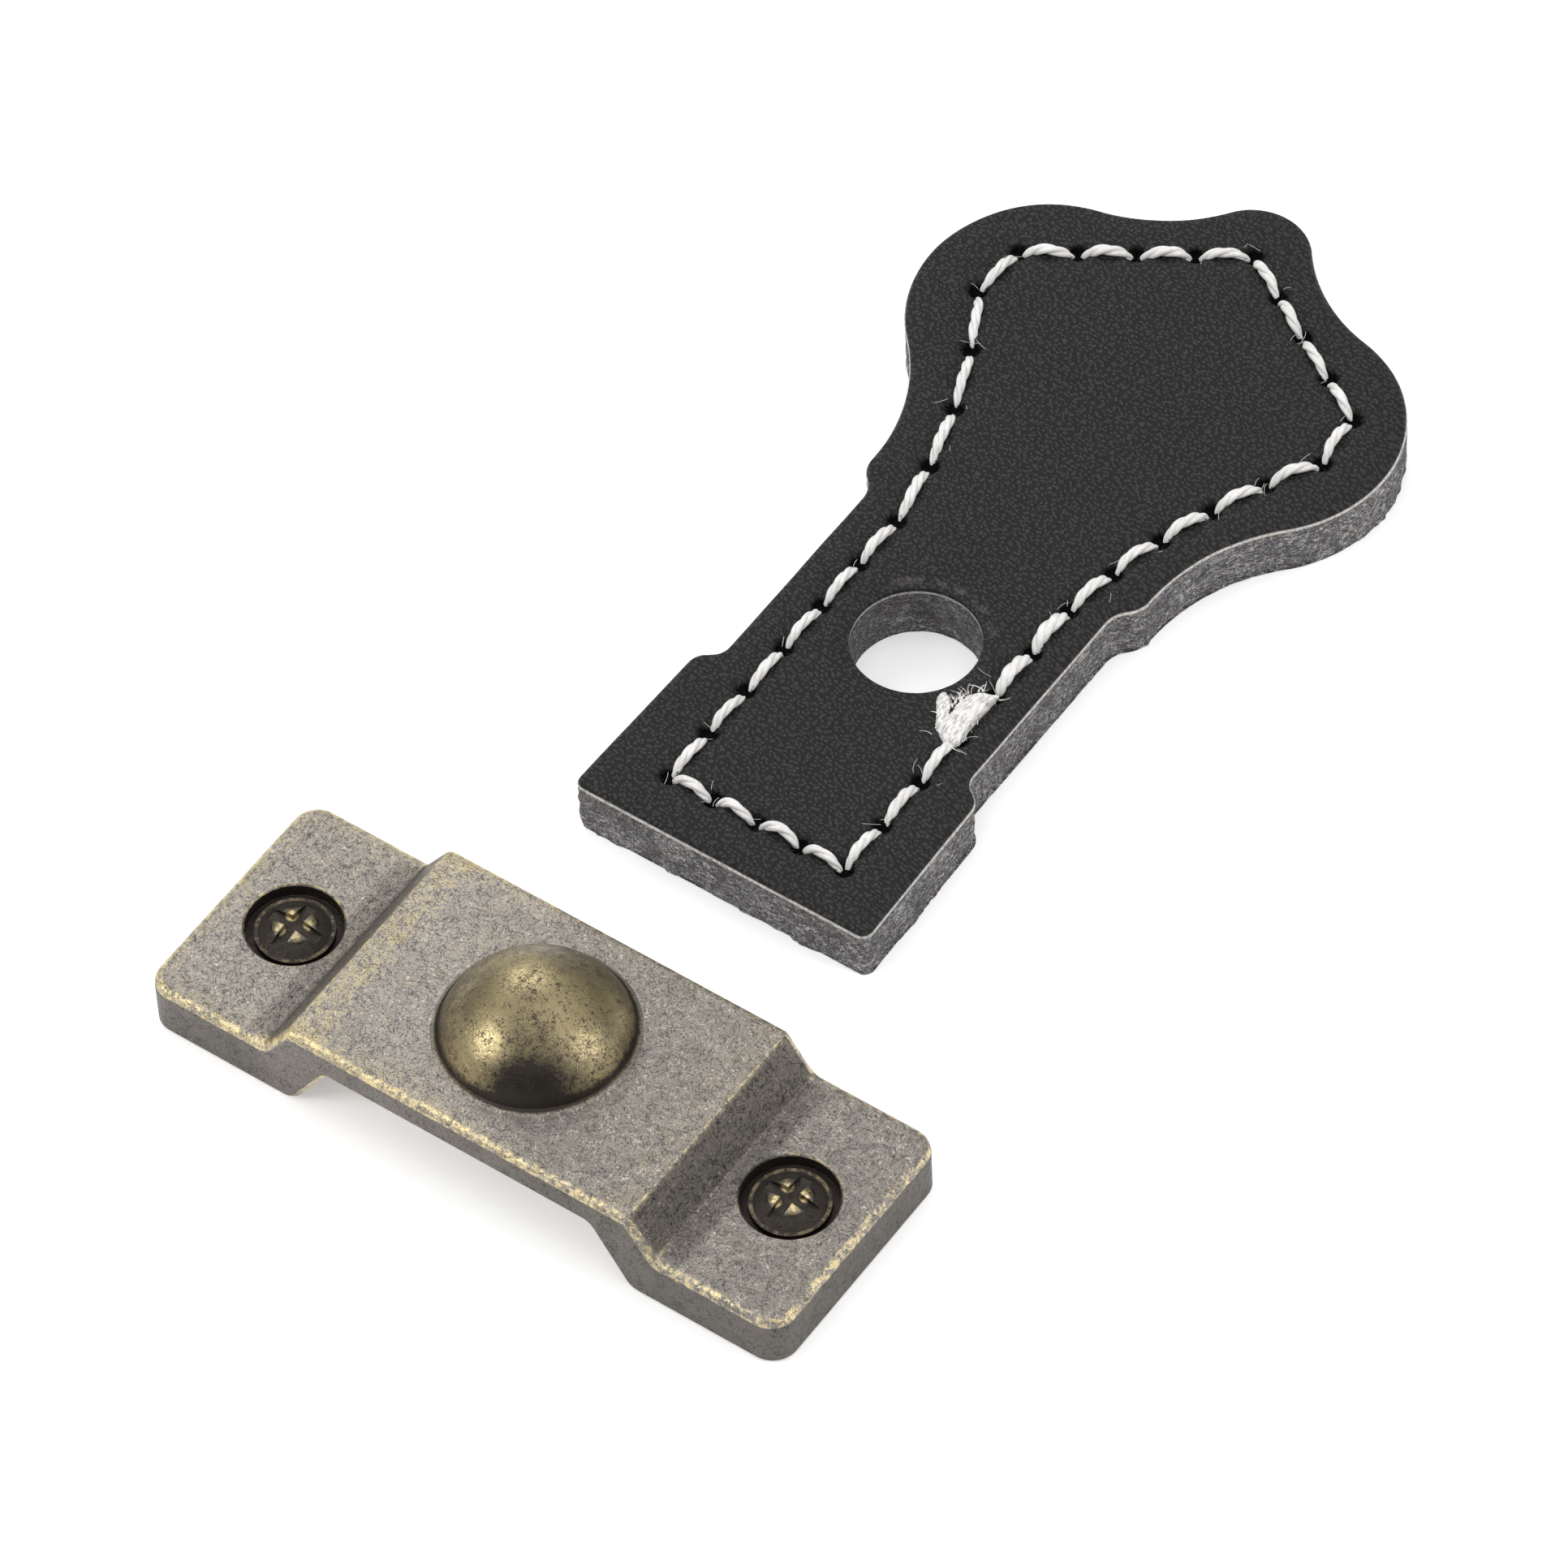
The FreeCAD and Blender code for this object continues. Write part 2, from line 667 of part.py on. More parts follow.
def faceted_rod(centres, radii, sides):
    """Make a rod of flat facets through some centres, all in one upright plane. Its sections are
    alike, upright and square to the run, so that every facet is flat."""
    run = raised(centres[-1] - centres[0], 0).normalize()
    rings = [facet_corners(centre, UPRIGHT.cross(run), UPRIGHT, radius, sides)
             for centre, radius in zip(centres, radii)]
    faces = [flat_face(rings[0]), flat_face(rings[-1])]
    for ring, following in zip(rings, rings[1:]):
        for number in range(sides):
            beside = (number + 1) % sides
            faces.append(flat_face([ring[number], ring[beside], following[beside], following[number]]))
    return Part.Solid(Part.Shell(faces))


def diamond_leg(foot, length, radius, facing):
    """Make an upright rod for an awl's diamond-shaped hole, with one corner facing along the seam."""
    turn = FreeCAD.Rotation(UPRIGHT, 45)
    first = turn.multVec(facing)
    corners = facet_corners(foot, first, UPRIGHT.cross(first), radius, 4)
    return flat_face(corners).extrude(UPRIGHT * length)


def joined(pieces):
    """Fuse neighbours pair by pair until one solid is left."""
    while len(pieces) > 1:
        pairs = [pieces[number].fuse(pieces[number + 1]) for number in range(0, len(pieces) - 1, 2)]
        pieces = pairs + pieces[len(pieces) - len(pieces) % 2:]
    return pieces[0]


def seam_runs():
    """Give each stitch as its two needle holes, and the way that the seam faces at the first."""
    holes = needle_holes()
    runs = []
    for number, start in enumerate(holes):
        finish = holes[(number + 1) % len(holes)]
        arriving = FreeCAD.Vector(start - holes[number - 1]).normalize()
        leaving = FreeCAD.Vector(finish - start).normalize()
        runs.append((start, finish, (arriving + leaving).normalize()))
    return runs


def top_thread_shape(room):
    """Make the upper thread. Each stitch bows up between the legs that stand in two needle holes."""
    surface = size("core_thickness") + size("face_thickness")
    low, high = surface - size("stitch_dip"), surface + size("stitch_rise")
    radius = size("thread_radius") + room
    leg_foot = size("thread_meeting_height") - room
    leg_length = low + size("thread_leg_rise") - leg_foot
    lengths = []
    for start, finish, facing in seam_runs():
        run = finish - start
        setback = size("stitch_setback") / run.Length
        knee = size("stitch_knee")
        centres = [raised(start + run * share, height) for share, height in
                   ((setback, low), (knee, high), (1 - knee, high), (1 - setback, low))]
        stitch = faceted_rod(centres, [radius] * 4, THREAD_SIDES)
        leg = diamond_leg(raised(start, leg_foot), leg_length, size("thread_leg_radius") + room, facing)
        lengths.append(stitch.fuse(leg))
    return joined(lengths)


def back_thread_shape(room):
    """Make the lower thread. Its stitches lie straight and flush with the back of the tab."""
    level = size("back_thread_radius")
    leg_foot = size("thread_room") - 3 * room
    leg_length = size("thread_meeting_height") + room - leg_foot
    lengths = []
    for start, finish, facing in seam_runs():
        run = finish - start
        setback = size("stitch_setback") / run.Length
        centres = [raised(start + run * share, level) for share in (setback, 1 - setback)]
        stitch = faceted_rod(centres, [level + room] * 2, BACK_THREAD_SIDES)
        leg = diamond_leg(raised(start, leg_foot), leg_length, size("back_leg_radius") + room, facing)
        lengths.append(stitch.fuse(leg))
    return joined(lengths)


def melted_end_shape():
    """Make the melted lump and its tail, which rest on the face layer beside the hole."""
    surface = size("core_thickness") + size("face_thickness")
    centre = FreeCAD.Vector(size("punch_offset") + size("seam_neck_width") / 2, size("melt_distance"),
                            surface + size("melt_height") - size("melt_radius"))
    shares = (-1, -0.8, -0.35, 0.35, 0.8, 1)
    radii = [size("melt_radius") * math.sqrt(1 - (0.98 * share) ** 2) for share in shares]
    stations = [centre + ALONG_Y * (share * size("melt_length") / 2) for share in shares]
    block = Part.makeBox(20, 20, 10, FreeCAD.Vector(centre.x - 10, centre.y - 10, surface))
    lump = faceted_rod(stations, radii, THREAD_SIDES).common(block)
    start = centre - ALONG_Y * (size("melt_length") / 3)
    start.z = surface + size("melt_tail_radius")
    direction = FreeCAD.Rotation(UPRIGHT, size("melt_tail_angle")).multVec(ALONG_X)
    tail = faceted_rod([start, start + direction * size("melt_tail_length")],
                       [size("melt_tail_radius"), size("melt_tail_radius") / 2], THREAD_SIDES)
    return lump.fuse(tail)


def place_on_tab(item):
    """Put a seam feature where the tab lies."""
    tie(item, "Placement.Base.x", "tab_offset")
    tie(item, "Placement.Base.y", f"{LYING_LENGTH} / 2 - tab_length")


def seam_feature(name, shape):
    item = document.addObject("Part::Feature", name)
    item.Shape = shape
    place_on_tab(item)
    return item


top_thread = seam_feature("top_thread", top_thread_shape(0.0).fuse(melted_end_shape()))
back_thread = seam_feature("back_thread", back_thread_shape(0.0))
top_room = seam_feature("top_thread_room", top_thread_shape(size("thread_room")))
back_room = seam_feature("back_thread_room", back_thread_shape(size("thread_room")))


def cut_away(name, base, tool):
    item = document.addObject("Part::Cut", name)
    item.Base = base
    item.Tool = tool
    document.recompute()
    return item


leather_face = cut_away("leather_face", face_slab, top_room)
pierced_core = cut_away("pierced_core", core_slab, top_room)
leather_core = cut_away("leather_core", pierced_core, back_room)

# Check every object, then write one file for each piece

PIECES = [bracket, leather_core, leather_face, top_thread, back_thread]

document.recompute()
for item in document.Objects:
    if "Invalid" in item.State or "Error" in item.State:
        raise RuntimeError(f"{item.Label} is {item.State}")

os.makedirs("parts", exist_ok=True)
for piece in PIECES:
    shape = piece.Shape
    if shape.isNull() or not shape.isValid():
        raise RuntimeError(f"{piece.Label} has no valid shape")
    shape.exportStep(f"parts/{piece.Label}.step")
    box = shape.BoundBox
    print(f"{piece.Label}: {len(shape.Solids)} solids, {len(shape.Faces)} faces, {shape.Volume:.2f} mm3,"
          f" x {box.XMin:.2f}..{box.XMax:.2f}, y {box.YMin:.2f}..{box.YMax:.2f}, z {box.ZMin:.2f}..{box.ZMax:.2f}")
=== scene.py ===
import json
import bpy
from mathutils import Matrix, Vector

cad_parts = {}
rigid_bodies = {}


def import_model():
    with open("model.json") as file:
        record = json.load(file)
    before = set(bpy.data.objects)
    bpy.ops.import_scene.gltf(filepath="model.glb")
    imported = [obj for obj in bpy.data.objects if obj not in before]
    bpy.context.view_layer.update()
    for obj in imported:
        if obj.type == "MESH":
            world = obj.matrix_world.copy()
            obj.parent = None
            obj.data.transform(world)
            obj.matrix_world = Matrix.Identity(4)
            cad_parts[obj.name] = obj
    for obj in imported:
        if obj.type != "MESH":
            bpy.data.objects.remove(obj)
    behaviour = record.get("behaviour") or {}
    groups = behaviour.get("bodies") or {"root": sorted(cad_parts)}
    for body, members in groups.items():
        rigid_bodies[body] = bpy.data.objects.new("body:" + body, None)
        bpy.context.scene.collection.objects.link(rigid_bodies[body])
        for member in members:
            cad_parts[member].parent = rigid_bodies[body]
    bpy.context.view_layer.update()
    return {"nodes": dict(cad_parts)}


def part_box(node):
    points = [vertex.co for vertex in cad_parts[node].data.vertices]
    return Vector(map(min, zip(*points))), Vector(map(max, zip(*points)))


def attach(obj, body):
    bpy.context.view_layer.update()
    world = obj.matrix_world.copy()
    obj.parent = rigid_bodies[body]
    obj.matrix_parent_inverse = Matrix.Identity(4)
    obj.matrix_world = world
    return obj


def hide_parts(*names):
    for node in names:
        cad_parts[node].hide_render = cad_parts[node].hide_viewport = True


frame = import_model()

from types import SimpleNamespace

import bmesh
import bpy
import numpy as np
from bpy.props import FloatProperty, FloatVectorProperty, IntProperty, PointerProperty
from mathutils import Matrix, Vector

bl_info = {
    "name": "Leather pull",
    "version": (1, 0, 0),
    "blender": (4, 5, 0),
    "location": "3D View > Sidebar > Leather pull",
    "description": "Dresses a cast bracket and its stitched leather tab for the studio",
    "category": "Object",
}

MM = 0.001
WELD = 1e-8
BRACKET_LOW, BRACKET_HIGH = [np.array(corner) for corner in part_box("bracket")]
CORE_LOW, CORE_HIGH = [np.array(corner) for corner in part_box("leather_core")]
FACE_LOW, FACE_HIGH = [np.array(corner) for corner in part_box("leather_face")]
BRACKET_MIDDLE = (BRACKET_LOW + BRACKET_HIGH) / 2
TAB_MIDDLE = (CORE_LOW[0] + CORE_HIGH[0]) / 2
TAB_END = CORE_LOW[1]


# Sizes and colours that a user can change

def length(name, description, number):
    """A length in metres, given here in millimetres."""
    return FloatProperty(name=name, description=description, default=number * MM,
                         subtype="DISTANCE", unit="LENGTH", precision=5)


def colour(name, description, shade):
    """A colour, given as linear red, green and blue."""
    return FloatVectorProperty(name=name, description=description, default=shade, size=3,
                               subtype="COLOR", min=0.0, max=1.0)


def stitches(name, description, number):
    """A number of stitches."""
    return IntProperty(name=name, description=description, default=number, min=1)


class TabSizes(bpy.types.PropertyGroup):
    """Outline and layers of the leather tab, measured from its cut end."""

    end_width: length("End width", "Width across the cut end", 25.7)
    end_corner: length("End corner", "Radius of the two corners of the cut end", 0.8)
    shoulder_width: length("Shoulder width", "Width where the sides turn into the waist", 25.0)
    shoulder_run: length("Shoulder run", "Length of the curve from shoulder to waist", 2.8)
    waist_width: length("Waist width", "Width between the two notches", 21.6)
    waist_start: length("Waist start", "Where the waist begins", 16.6)
    waist_end: length("Waist end", "Where the waist ends", 33.6)
    flare_width: length("Flare width", "Width where the fan begins", 24.7)
    flare_start: length("Flare start", "Where the fan begins", 37.0)
    flare_share: FloatProperty(name="Flare share", description="Part of the flare that curves outwards",
                               default=0.58, min=0.1, max=0.9, subtype="FACTOR")
    fan_distance: length("Fan distance", "Where the fan is widest", 56.2)
    lobe: length("Lobe radius", "Radius of the two rounded lobes", 10.6)
    hollow: length("Hollow radius", "Radius of the hollow beside the tip", 14.0)
    tip: length("Tip radius", "Radius of the tip", 4.5)
    hole: length("Hole radius", "Radius of the punched hole", 4.9)
    hole_distance: length("Hole distance", "Distance of the hole from the cut end", 24.4)
    punch_offset: length("Punch offset", "How far the hole and the seam sit off the middle", 0.35)
    edge_roll: length("Edge roll", "How far the skin sinks towards its edge", 0.3)
    edge_round: length("Edge rounding", "Radius of the skin's edge", 0.5)
    valley: length("Seam valley", "Depth of the valley that the seam pulls into the skin", 0.2)
    needle: length("Needle hole radius", "Radius of a needle hole", 0.72)


class SeamSizes(bpy.types.PropertyGroup):
    """Line of the seam and its thread, measured from the tab's cut end."""

    end_margin: length("End margin", "Distance of the seam from the cut end", 4.3)
    neck_width: length("Neck width", "Width between the two straight rows", 15.3)
    flare_start: length("Flare start", "Where the straight rows end", 33.0)
    flare_sag: length("Flare sag", "How far the flared rows bow inwards", 1.3)
    fan_width: length("Fan width", "Width between the rows at the fan", 30.7)
    fan_distance: length("Fan distance", "Where the rows are furthest apart", 54.8)
    lobe_width: length("Lobe width", "Width where the rows turn to the tip", 29.8)
    lobe_distance: length("Lobe distance", "Where the rows turn to the tip", 59.6)
    tip_distance: length("Tip distance", "Where the two rows meet", 68.9)
    thread: length("Thread radius", "Radius of the twisted thread", 0.41)
    back_thread: length("Back thread radius", "Radius of the thread on the back", 0.35)
    twist: length("Twist", "Length of one full turn of the plies", 4.2)
    end_stitches: stitches("End stitches", "Stitches along the cut end", 4)
    neck_stitches: stitches("Neck stitches", "Stitches in each straight row", 6)
    right_stitches: stitches("Right flare stitches", "Stitches in the right flare", 5)
    left_stitches: stitches("Left flare stitches", "Stitches in the left flare", 4)
    tip_stitches: stitches("Tip stitches", "Stitches from each lobe to the tip", 4)


class Finishes(bpy.types.PropertyGroup):
    """Colours of the finishes."""

    brass: colour("Brass", "Worn brass on the rims and the dome", (0.56, 0.46, 0.25))
    patina: colour("Patina", "Grey-brown patina on the flats", (0.345, 0.317, 0.285))
    # The tarnish colour is also laid on the bracket as painted shade and painted dark reflections
    tarnish: colour("Tarnish", "Dark tarnish in the hollows", (0.045, 0.038, 0.032))
    skin: colour("Skin", "Black of the leather's grained skin", (0.0112, 0.0098, 0.0101))
    skin_edge: colour("Skin edge", "Pale cut edge of the skin", (0.62, 0.60, 0.56))
    fibre_dark: colour("Dark fibre", "Darkest fibres of the core", (0.075, 0.071, 0.074))
    fibre_light: colour("Light fibre", "Lightest fibres of the core", (0.78, 0.76, 0.75))
    thread: colour("Thread", "White of the thread", (0.92, 0.91, 0.89))


class StageSizes(bpy.types.PropertyGroup):
    """Camera and lights."""

    lens: FloatProperty(name="Lens", description="Focal length on a 36 mm sensor", default=237.578,
                        unit="CAMERA")
    floor: length("Floor", "Half the width of the floor", 1500.0)
    key: FloatProperty(name="Overhead light", description="Power of the large overhead light",
                       default=1.6, unit="POWER")
    fill: FloatProperty(name="Side lights", description="Power of each side light", default=1.75,
                        unit="POWER")
    sky: FloatProperty(name="Surroundings", description="Brightness of the ceiling", default=0.95)


# Outline of the tab and line of the seam

def arc(start, finish, radius, side, count):
    """Points on a circular arc, its end left out: the centre lies on the chord's normal, and the
    points turn about it by equal angles. Side 1 bulges to the left of the run, -1 to the right."""
    chord = finish - start
    reach = np.hypot(*chord)
    normal = np.array([-chord[1], chord[0]]) / reach
    centre = (start + finish) / 2 - normal * side * np.sqrt(max(radius ** 2 - (reach / 2) ** 2, 0.0))
    from_angle = np.arctan2(*(start - centre)[::-1])
    turn = -side * 2 * np.arcsin(min(reach / (2 * radius), 1.0))
    angle = from_angle + turn * np.arange(count) / count
    return centre + radius * np.stack([np.cos(angle), np.sin(angle)], -1)


def eased(start, finish, share, count):
    """Two arcs that leave and arrive parallel to the tab's length, tangent at a share of the way."""
    across, up = finish - start
    turn = (across ** 2 + up ** 2) / (2 * abs(across))
    side = -1 if across < 0 else 1
    middle = start + share * (finish - start)
    return np.concatenate([arc(start, middle, share * turn, side, count),
                           arc(middle, finish, (1 - share) * turn, -side, count)])


def half_outline(tab):
    """Right half of the outline from the middle of the cut end to the tip, arc by arc. The last
    number of each curve is its count of points."""
    fan = np.array([(CORE_HIGH[0] - CORE_LOW[0]) / 2, tab.fan_distance])
    reach = CORE_HIGH[1] - CORE_LOW[1]
    lobe = np.array([fan[0] - tab.lobe, fan[1]])
    tip = np.array([0.0, reach - tab.tip])
    between = tip - lobe
    gap = np.hypot(*between)
    to_lobe, to_tip = tab.lobe + tab.hollow, tab.tip + tab.hollow
    along = (to_lobe ** 2 - to_tip ** 2 + gap ** 2) / (2 * gap)
    aside = np.sqrt(to_lobe ** 2 - along ** 2)
    hollow = lobe + between / gap * along + np.array([between[1], -between[0]]) / gap * aside
    lobe_end = lobe + (hollow - lobe) / to_lobe * tab.lobe
    tip_start = tip + (hollow - tip) / to_tip * tab.tip
    corner = np.array([tab.end_width / 2, 0.0])
    shoulder = np.array([tab.shoulder_width / 2, tab.waist_start - tab.shoulder_run])
    waist = np.array([[tab.waist_width / 2, tab.waist_start], [tab.waist_width / 2, tab.waist_end]])
    flare = np.array([tab.flare_width / 2, tab.flare_start])
    return np.concatenate([
        [[0.0, 0.0]],
        arc(corner - [tab.end_corner, 0], corner + [0, tab.end_corner], tab.end_corner, -1, 12),
        [corner + [0, tab.end_corner]],
        eased(shoulder, waist[0], 0.5, 16),
        [waist[0]],
        eased(waist[1], flare, 0.5, 16),
        eased(flare, fan, tab.flare_share, 60),
        arc(fan, lobe_end, tab.lobe, -1, 80),
        arc(lobe_end, tip_start, tab.hollow, 1, 60),
        arc(tip_start, np.array([0.0, reach]), tab.tip, -1, 40),
        [[0.0, reach]],
    ])


def even_steps(points, count):
    """Points at even steps along a closed line: its length is added up and read off evenly."""
    line = np.concatenate([points, points[:1]])
    travel = np.concatenate([[0.0], np.cumsum(np.hypot(*np.diff(line, axis=0).T))])
    wanted = np.linspace(0.0, travel[-1], count, endpoint=False)
    return np.stack([np.interp(wanted, travel, line[:, axis]) for axis in (0, 1)], -1)


def tab_outline(tab, count):
    """Whole outline, counter-clockwise from the middle of the cut end, in the tab's own place."""
    right = half_outline(tab)
    left = right[-2:0:-1] * [-1, 1]
    return even_steps(np.concatenate([right, left]), count)


def straight(start, finish, count):
    """Even steps from one point to another, the last one left out."""
    return start + (finish - start) * (np.arange(count) / count)[:, None]


def bowed(start, finish, sag, count):
    """Even steps along an arc that bulges to the left of its run by the sag, its end left out."""
    half = np.hypot(*(finish - start)) / 2
    return arc(start, finish, (half ** 2 + sag ** 2) / (2 * sag), 1, count)


def needle_holes(tab, seam):
    """Needle holes in the order of sewing, from the left end corner and round."""
    def pair(width, distance):
        return [np.array([tab.punch_offset + side * width / 2, distance]) for side in (-1, 1)]

    end = pair(seam.neck_width, seam.end_margin)
    flare = pair(seam.neck_width, seam.flare_start)
    fan = pair(seam.fan_width, seam.fan_distance)
    lobe = pair(seam.lobe_width, seam.lobe_distance)
    tip = np.array([tab.punch_offset, seam.tip_distance])
    return np.concatenate([
        straight(end[0], end[1], seam.end_stitches),
        straight(end[1], flare[1], seam.neck_stitches),
        bowed(flare[1], fan[1], seam.flare_sag, seam.right_stitches),
        straight(fan[1], lobe[1], 1),
        straight(lobe[1], tip, seam.tip_stitches),
        straight(tip, lobe[0], seam.tip_stitches),
        straight(lobe[0], fan[0], 1),
        bowed(fan[0], flare[0], seam.flare_sag, seam.left_stitches),
        straight(flare[0], end[0], seam.neck_stitches),
    ])


# Measures and noises on whole arrays

def distance_to_line(points, line):
    """Distance of each point from a closed line of segments, row by row to save memory."""
    start, run = line, np.roll(line, -1, axis=0) - line
    square = (run ** 2).sum(-1)

    def row_distance(row):
        offset = row[:, None, :] - start
        share = np.clip((offset * run).sum(-1) / square, 0.0, 1.0)
        return np.sqrt(((offset - share[..., None] * run) ** 2).sum(-1)).min(-1)

    return np.stack([row_distance(row) for row in points])


def distance_to_points(points, places):
    """Distance of each point from the nearest of some places."""
    return np.sqrt(((points[..., None, :] - places) ** 2).sum(-1)).min(-1)


def bump(distance, width):
    """Bell curve of a distance: 1 in the middle and e to the minus 1 at the width."""
    return np.exp(-(distance / width) ** 2)


def lattice_noise(across, along, seed, repeat=None):
    """Smooth noise between -1 and 1: random numbers on whole coordinates, blended by smoothsteps.
    With a repeat, the first coordinate closes on itself after that many steps."""
    size = 512
    table = np.random.RandomState(seed).uniform(-1, 1, (size, size))
    column, row = np.floor(across).astype(int), np.floor(along).astype(int)
    share_c, share_r = [part ** 2 * (3 - 2 * part) for part in (across - column, along - row)]
    after = column + 1
    if repeat:
        column, after = column % repeat, after % repeat

    def blended(line):
        return table[column % size, line % size] * (1 - share_c) + table[after % size, line % size] * share_c

    return blended(row) * (1 - share_r) + blended(row + 1) * share_r


# Meshes from arrays

def grid_mesh(name, patches, wrap_rows=False, wrap_columns=False, weld=False, uv=None):
    """One mesh from equal patches of points, shaped patch, row, column, xyz. Each four neighbours
    make a face. Rows or columns can close on themselves. Where the volume summed over the faces
    comes out negative, they point inwards, so their corners are read the other way."""
    patches = np.asarray(patches, float)
    count, rows, columns = patches.shape[:3]
    row = np.arange(rows if wrap_rows else rows - 1)
    column = np.arange(columns if wrap_columns else columns - 1)
    row, column = [part.ravel() for part in np.meshgrid(row, column, indexing="ij")]
    next_row, next_column = (row + 1) % rows, (column + 1) % columns
    corners = np.stack([row * columns + column, row * columns + next_column,
                        next_row * columns + next_column, next_row * columns + column], -1)
    corners = (corners[None] + (np.arange(count) * rows * columns)[:, None, None]).reshape(-1, 4)
    first, second, third, fourth = patches.reshape(-1, 3)[corners.T]
    if (first * (np.cross(second, third) + np.cross(third, fourth))).sum() < 0:
        corners = corners[:, ::-1]
    mesh = bpy.data.meshes.new(name)
    mesh.vertices.add(count * rows * columns)
    mesh.vertices.foreach_set("co", patches.reshape(-1))
    mesh.loops.add(corners.size)
    mesh.loops.foreach_set("vertex_index", corners.reshape(-1).astype(np.int32))
    mesh.polygons.add(len(corners))
    mesh.polygons.foreach_set("loop_start", np.arange(0, corners.size, 4, dtype=np.int32))
    mesh.polygons.foreach_set("use_smooth", np.ones(len(corners), bool))
    mesh.update(calc_edges=True)
    if uv is not None:
        layer = mesh.uv_layers.new(name="lay")
        layer.data.foreach_set("uv", np.asarray(uv, float).reshape(-1, 2)[corners.reshape(-1)].reshape(-1))
    if weld:
        work = bmesh.new()
        work.from_mesh(mesh)
        bmesh.ops.remove_doubles(work, verts=work.verts, dist=WELD)
        bmesh.ops.dissolve_degenerate(work, edges=work.edges, dist=WELD / 10)
        bmesh.ops.recalc_face_normals(work, faces=work.faces)
        work.to_mesh(mesh)
        work.free()
    mesh.validate()
    return mesh


def place(name, mesh, material, replaced=()):
    """Put a finished piece on the root body, with its finish."""
    piece = bpy.data.objects.new(name, mesh)
    bpy.context.scene.collection.objects.link(piece)
    mesh.materials.append(material)
    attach(piece, "root")
    if replaced:
        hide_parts(*replaced)


def place_tubes(name, patches, material, replaced=(), uv=None):
    """Weld closed tubes into one mesh and put it on the root body."""
    place(name, grid_mesh(name, patches, wrap_columns=True, weld=True, uv=uv), material, replaced)


def square_to(paths):
    """Two unit vectors square to each path at each step, worked out with a side vector that is never
    parallel to a path, and the length of each step."""
    ahead = np.gradient(paths, axis=1)
    pace = np.linalg.norm(ahead, axis=-1, keepdims=True)
    first = np.cross(ahead / pace, [0.31, 0.17, 1.0])
    first /= np.linalg.norm(first, axis=-1, keepdims=True)
    return first, np.cross(ahead / pace, first), pace[..., 0]


def tubes(paths, radii, sides):
    """Round tubes about paths, shaped tube, step, xyz, as patches for grid_mesh: at each step a circle
    stands square to the path, and the first and the last circle have no radius."""
    first, second, _ = square_to(paths)
    angle = 2 * np.pi * np.arange(sides) / sides
    around = np.cos(angle)[:, None] * first[:, :, None] + np.sin(angle)[:, None] * second[:, :, None]
    radii = np.array(radii)
    radii[:, [0, -1]] = 0.0
    return paths[:, :, None] + radii[..., None, None] * around


# Shader graphs

class Wire:
    """A number in a shader that is worked with as a plain expression."""

    def __init__(self, graph, socket):
        self.graph, self.socket = graph, socket

    def math(self, operation, *others, clamp=False):
        values = dict(enumerate((self,) + others))
        return self.graph.node("ShaderNodeMath", {"operation": operation, "use_clamp": clamp}, values)

    def __add__(self, other):
        return self.math("ADD", other)

    __radd__ = __add__

    def __sub__(self, other):
        return self.math("SUBTRACT", other)

    def __rsub__(self, other):
        return self.graph.node("ShaderNodeMath", {"operation": "SUBTRACT"}, {0: other, 1: self})

    def __mul__(self, other):
        return self.math("MULTIPLY", other)

    __rmul__ = __mul__

    def __truediv__(self, other):
        return self.math("DIVIDE", other)

    def __abs__(self):
        return self.math("ABSOLUTE")

    def clamp(self):
        return self.math("ADD", 0.0, clamp=True)

    def at_least(self, other):
        return self.math("MAXIMUM", other)

    def power(self, exponent):
        return self.math("POWER", exponent)

    def step(self, low, high):
        """0 below low and 1 above high, with a smooth ramp between. Falls where low is above high."""
        flip = low > high
        low, high = min(low, high), max(low, high)
        ramp = self.graph.node("ShaderNodeMapRange", {"interpolation_type": "SMOOTHSTEP", "clamp": True},
                               {0: self, 1: low, 2: high})
        return 1 - ramp if flip else ramp


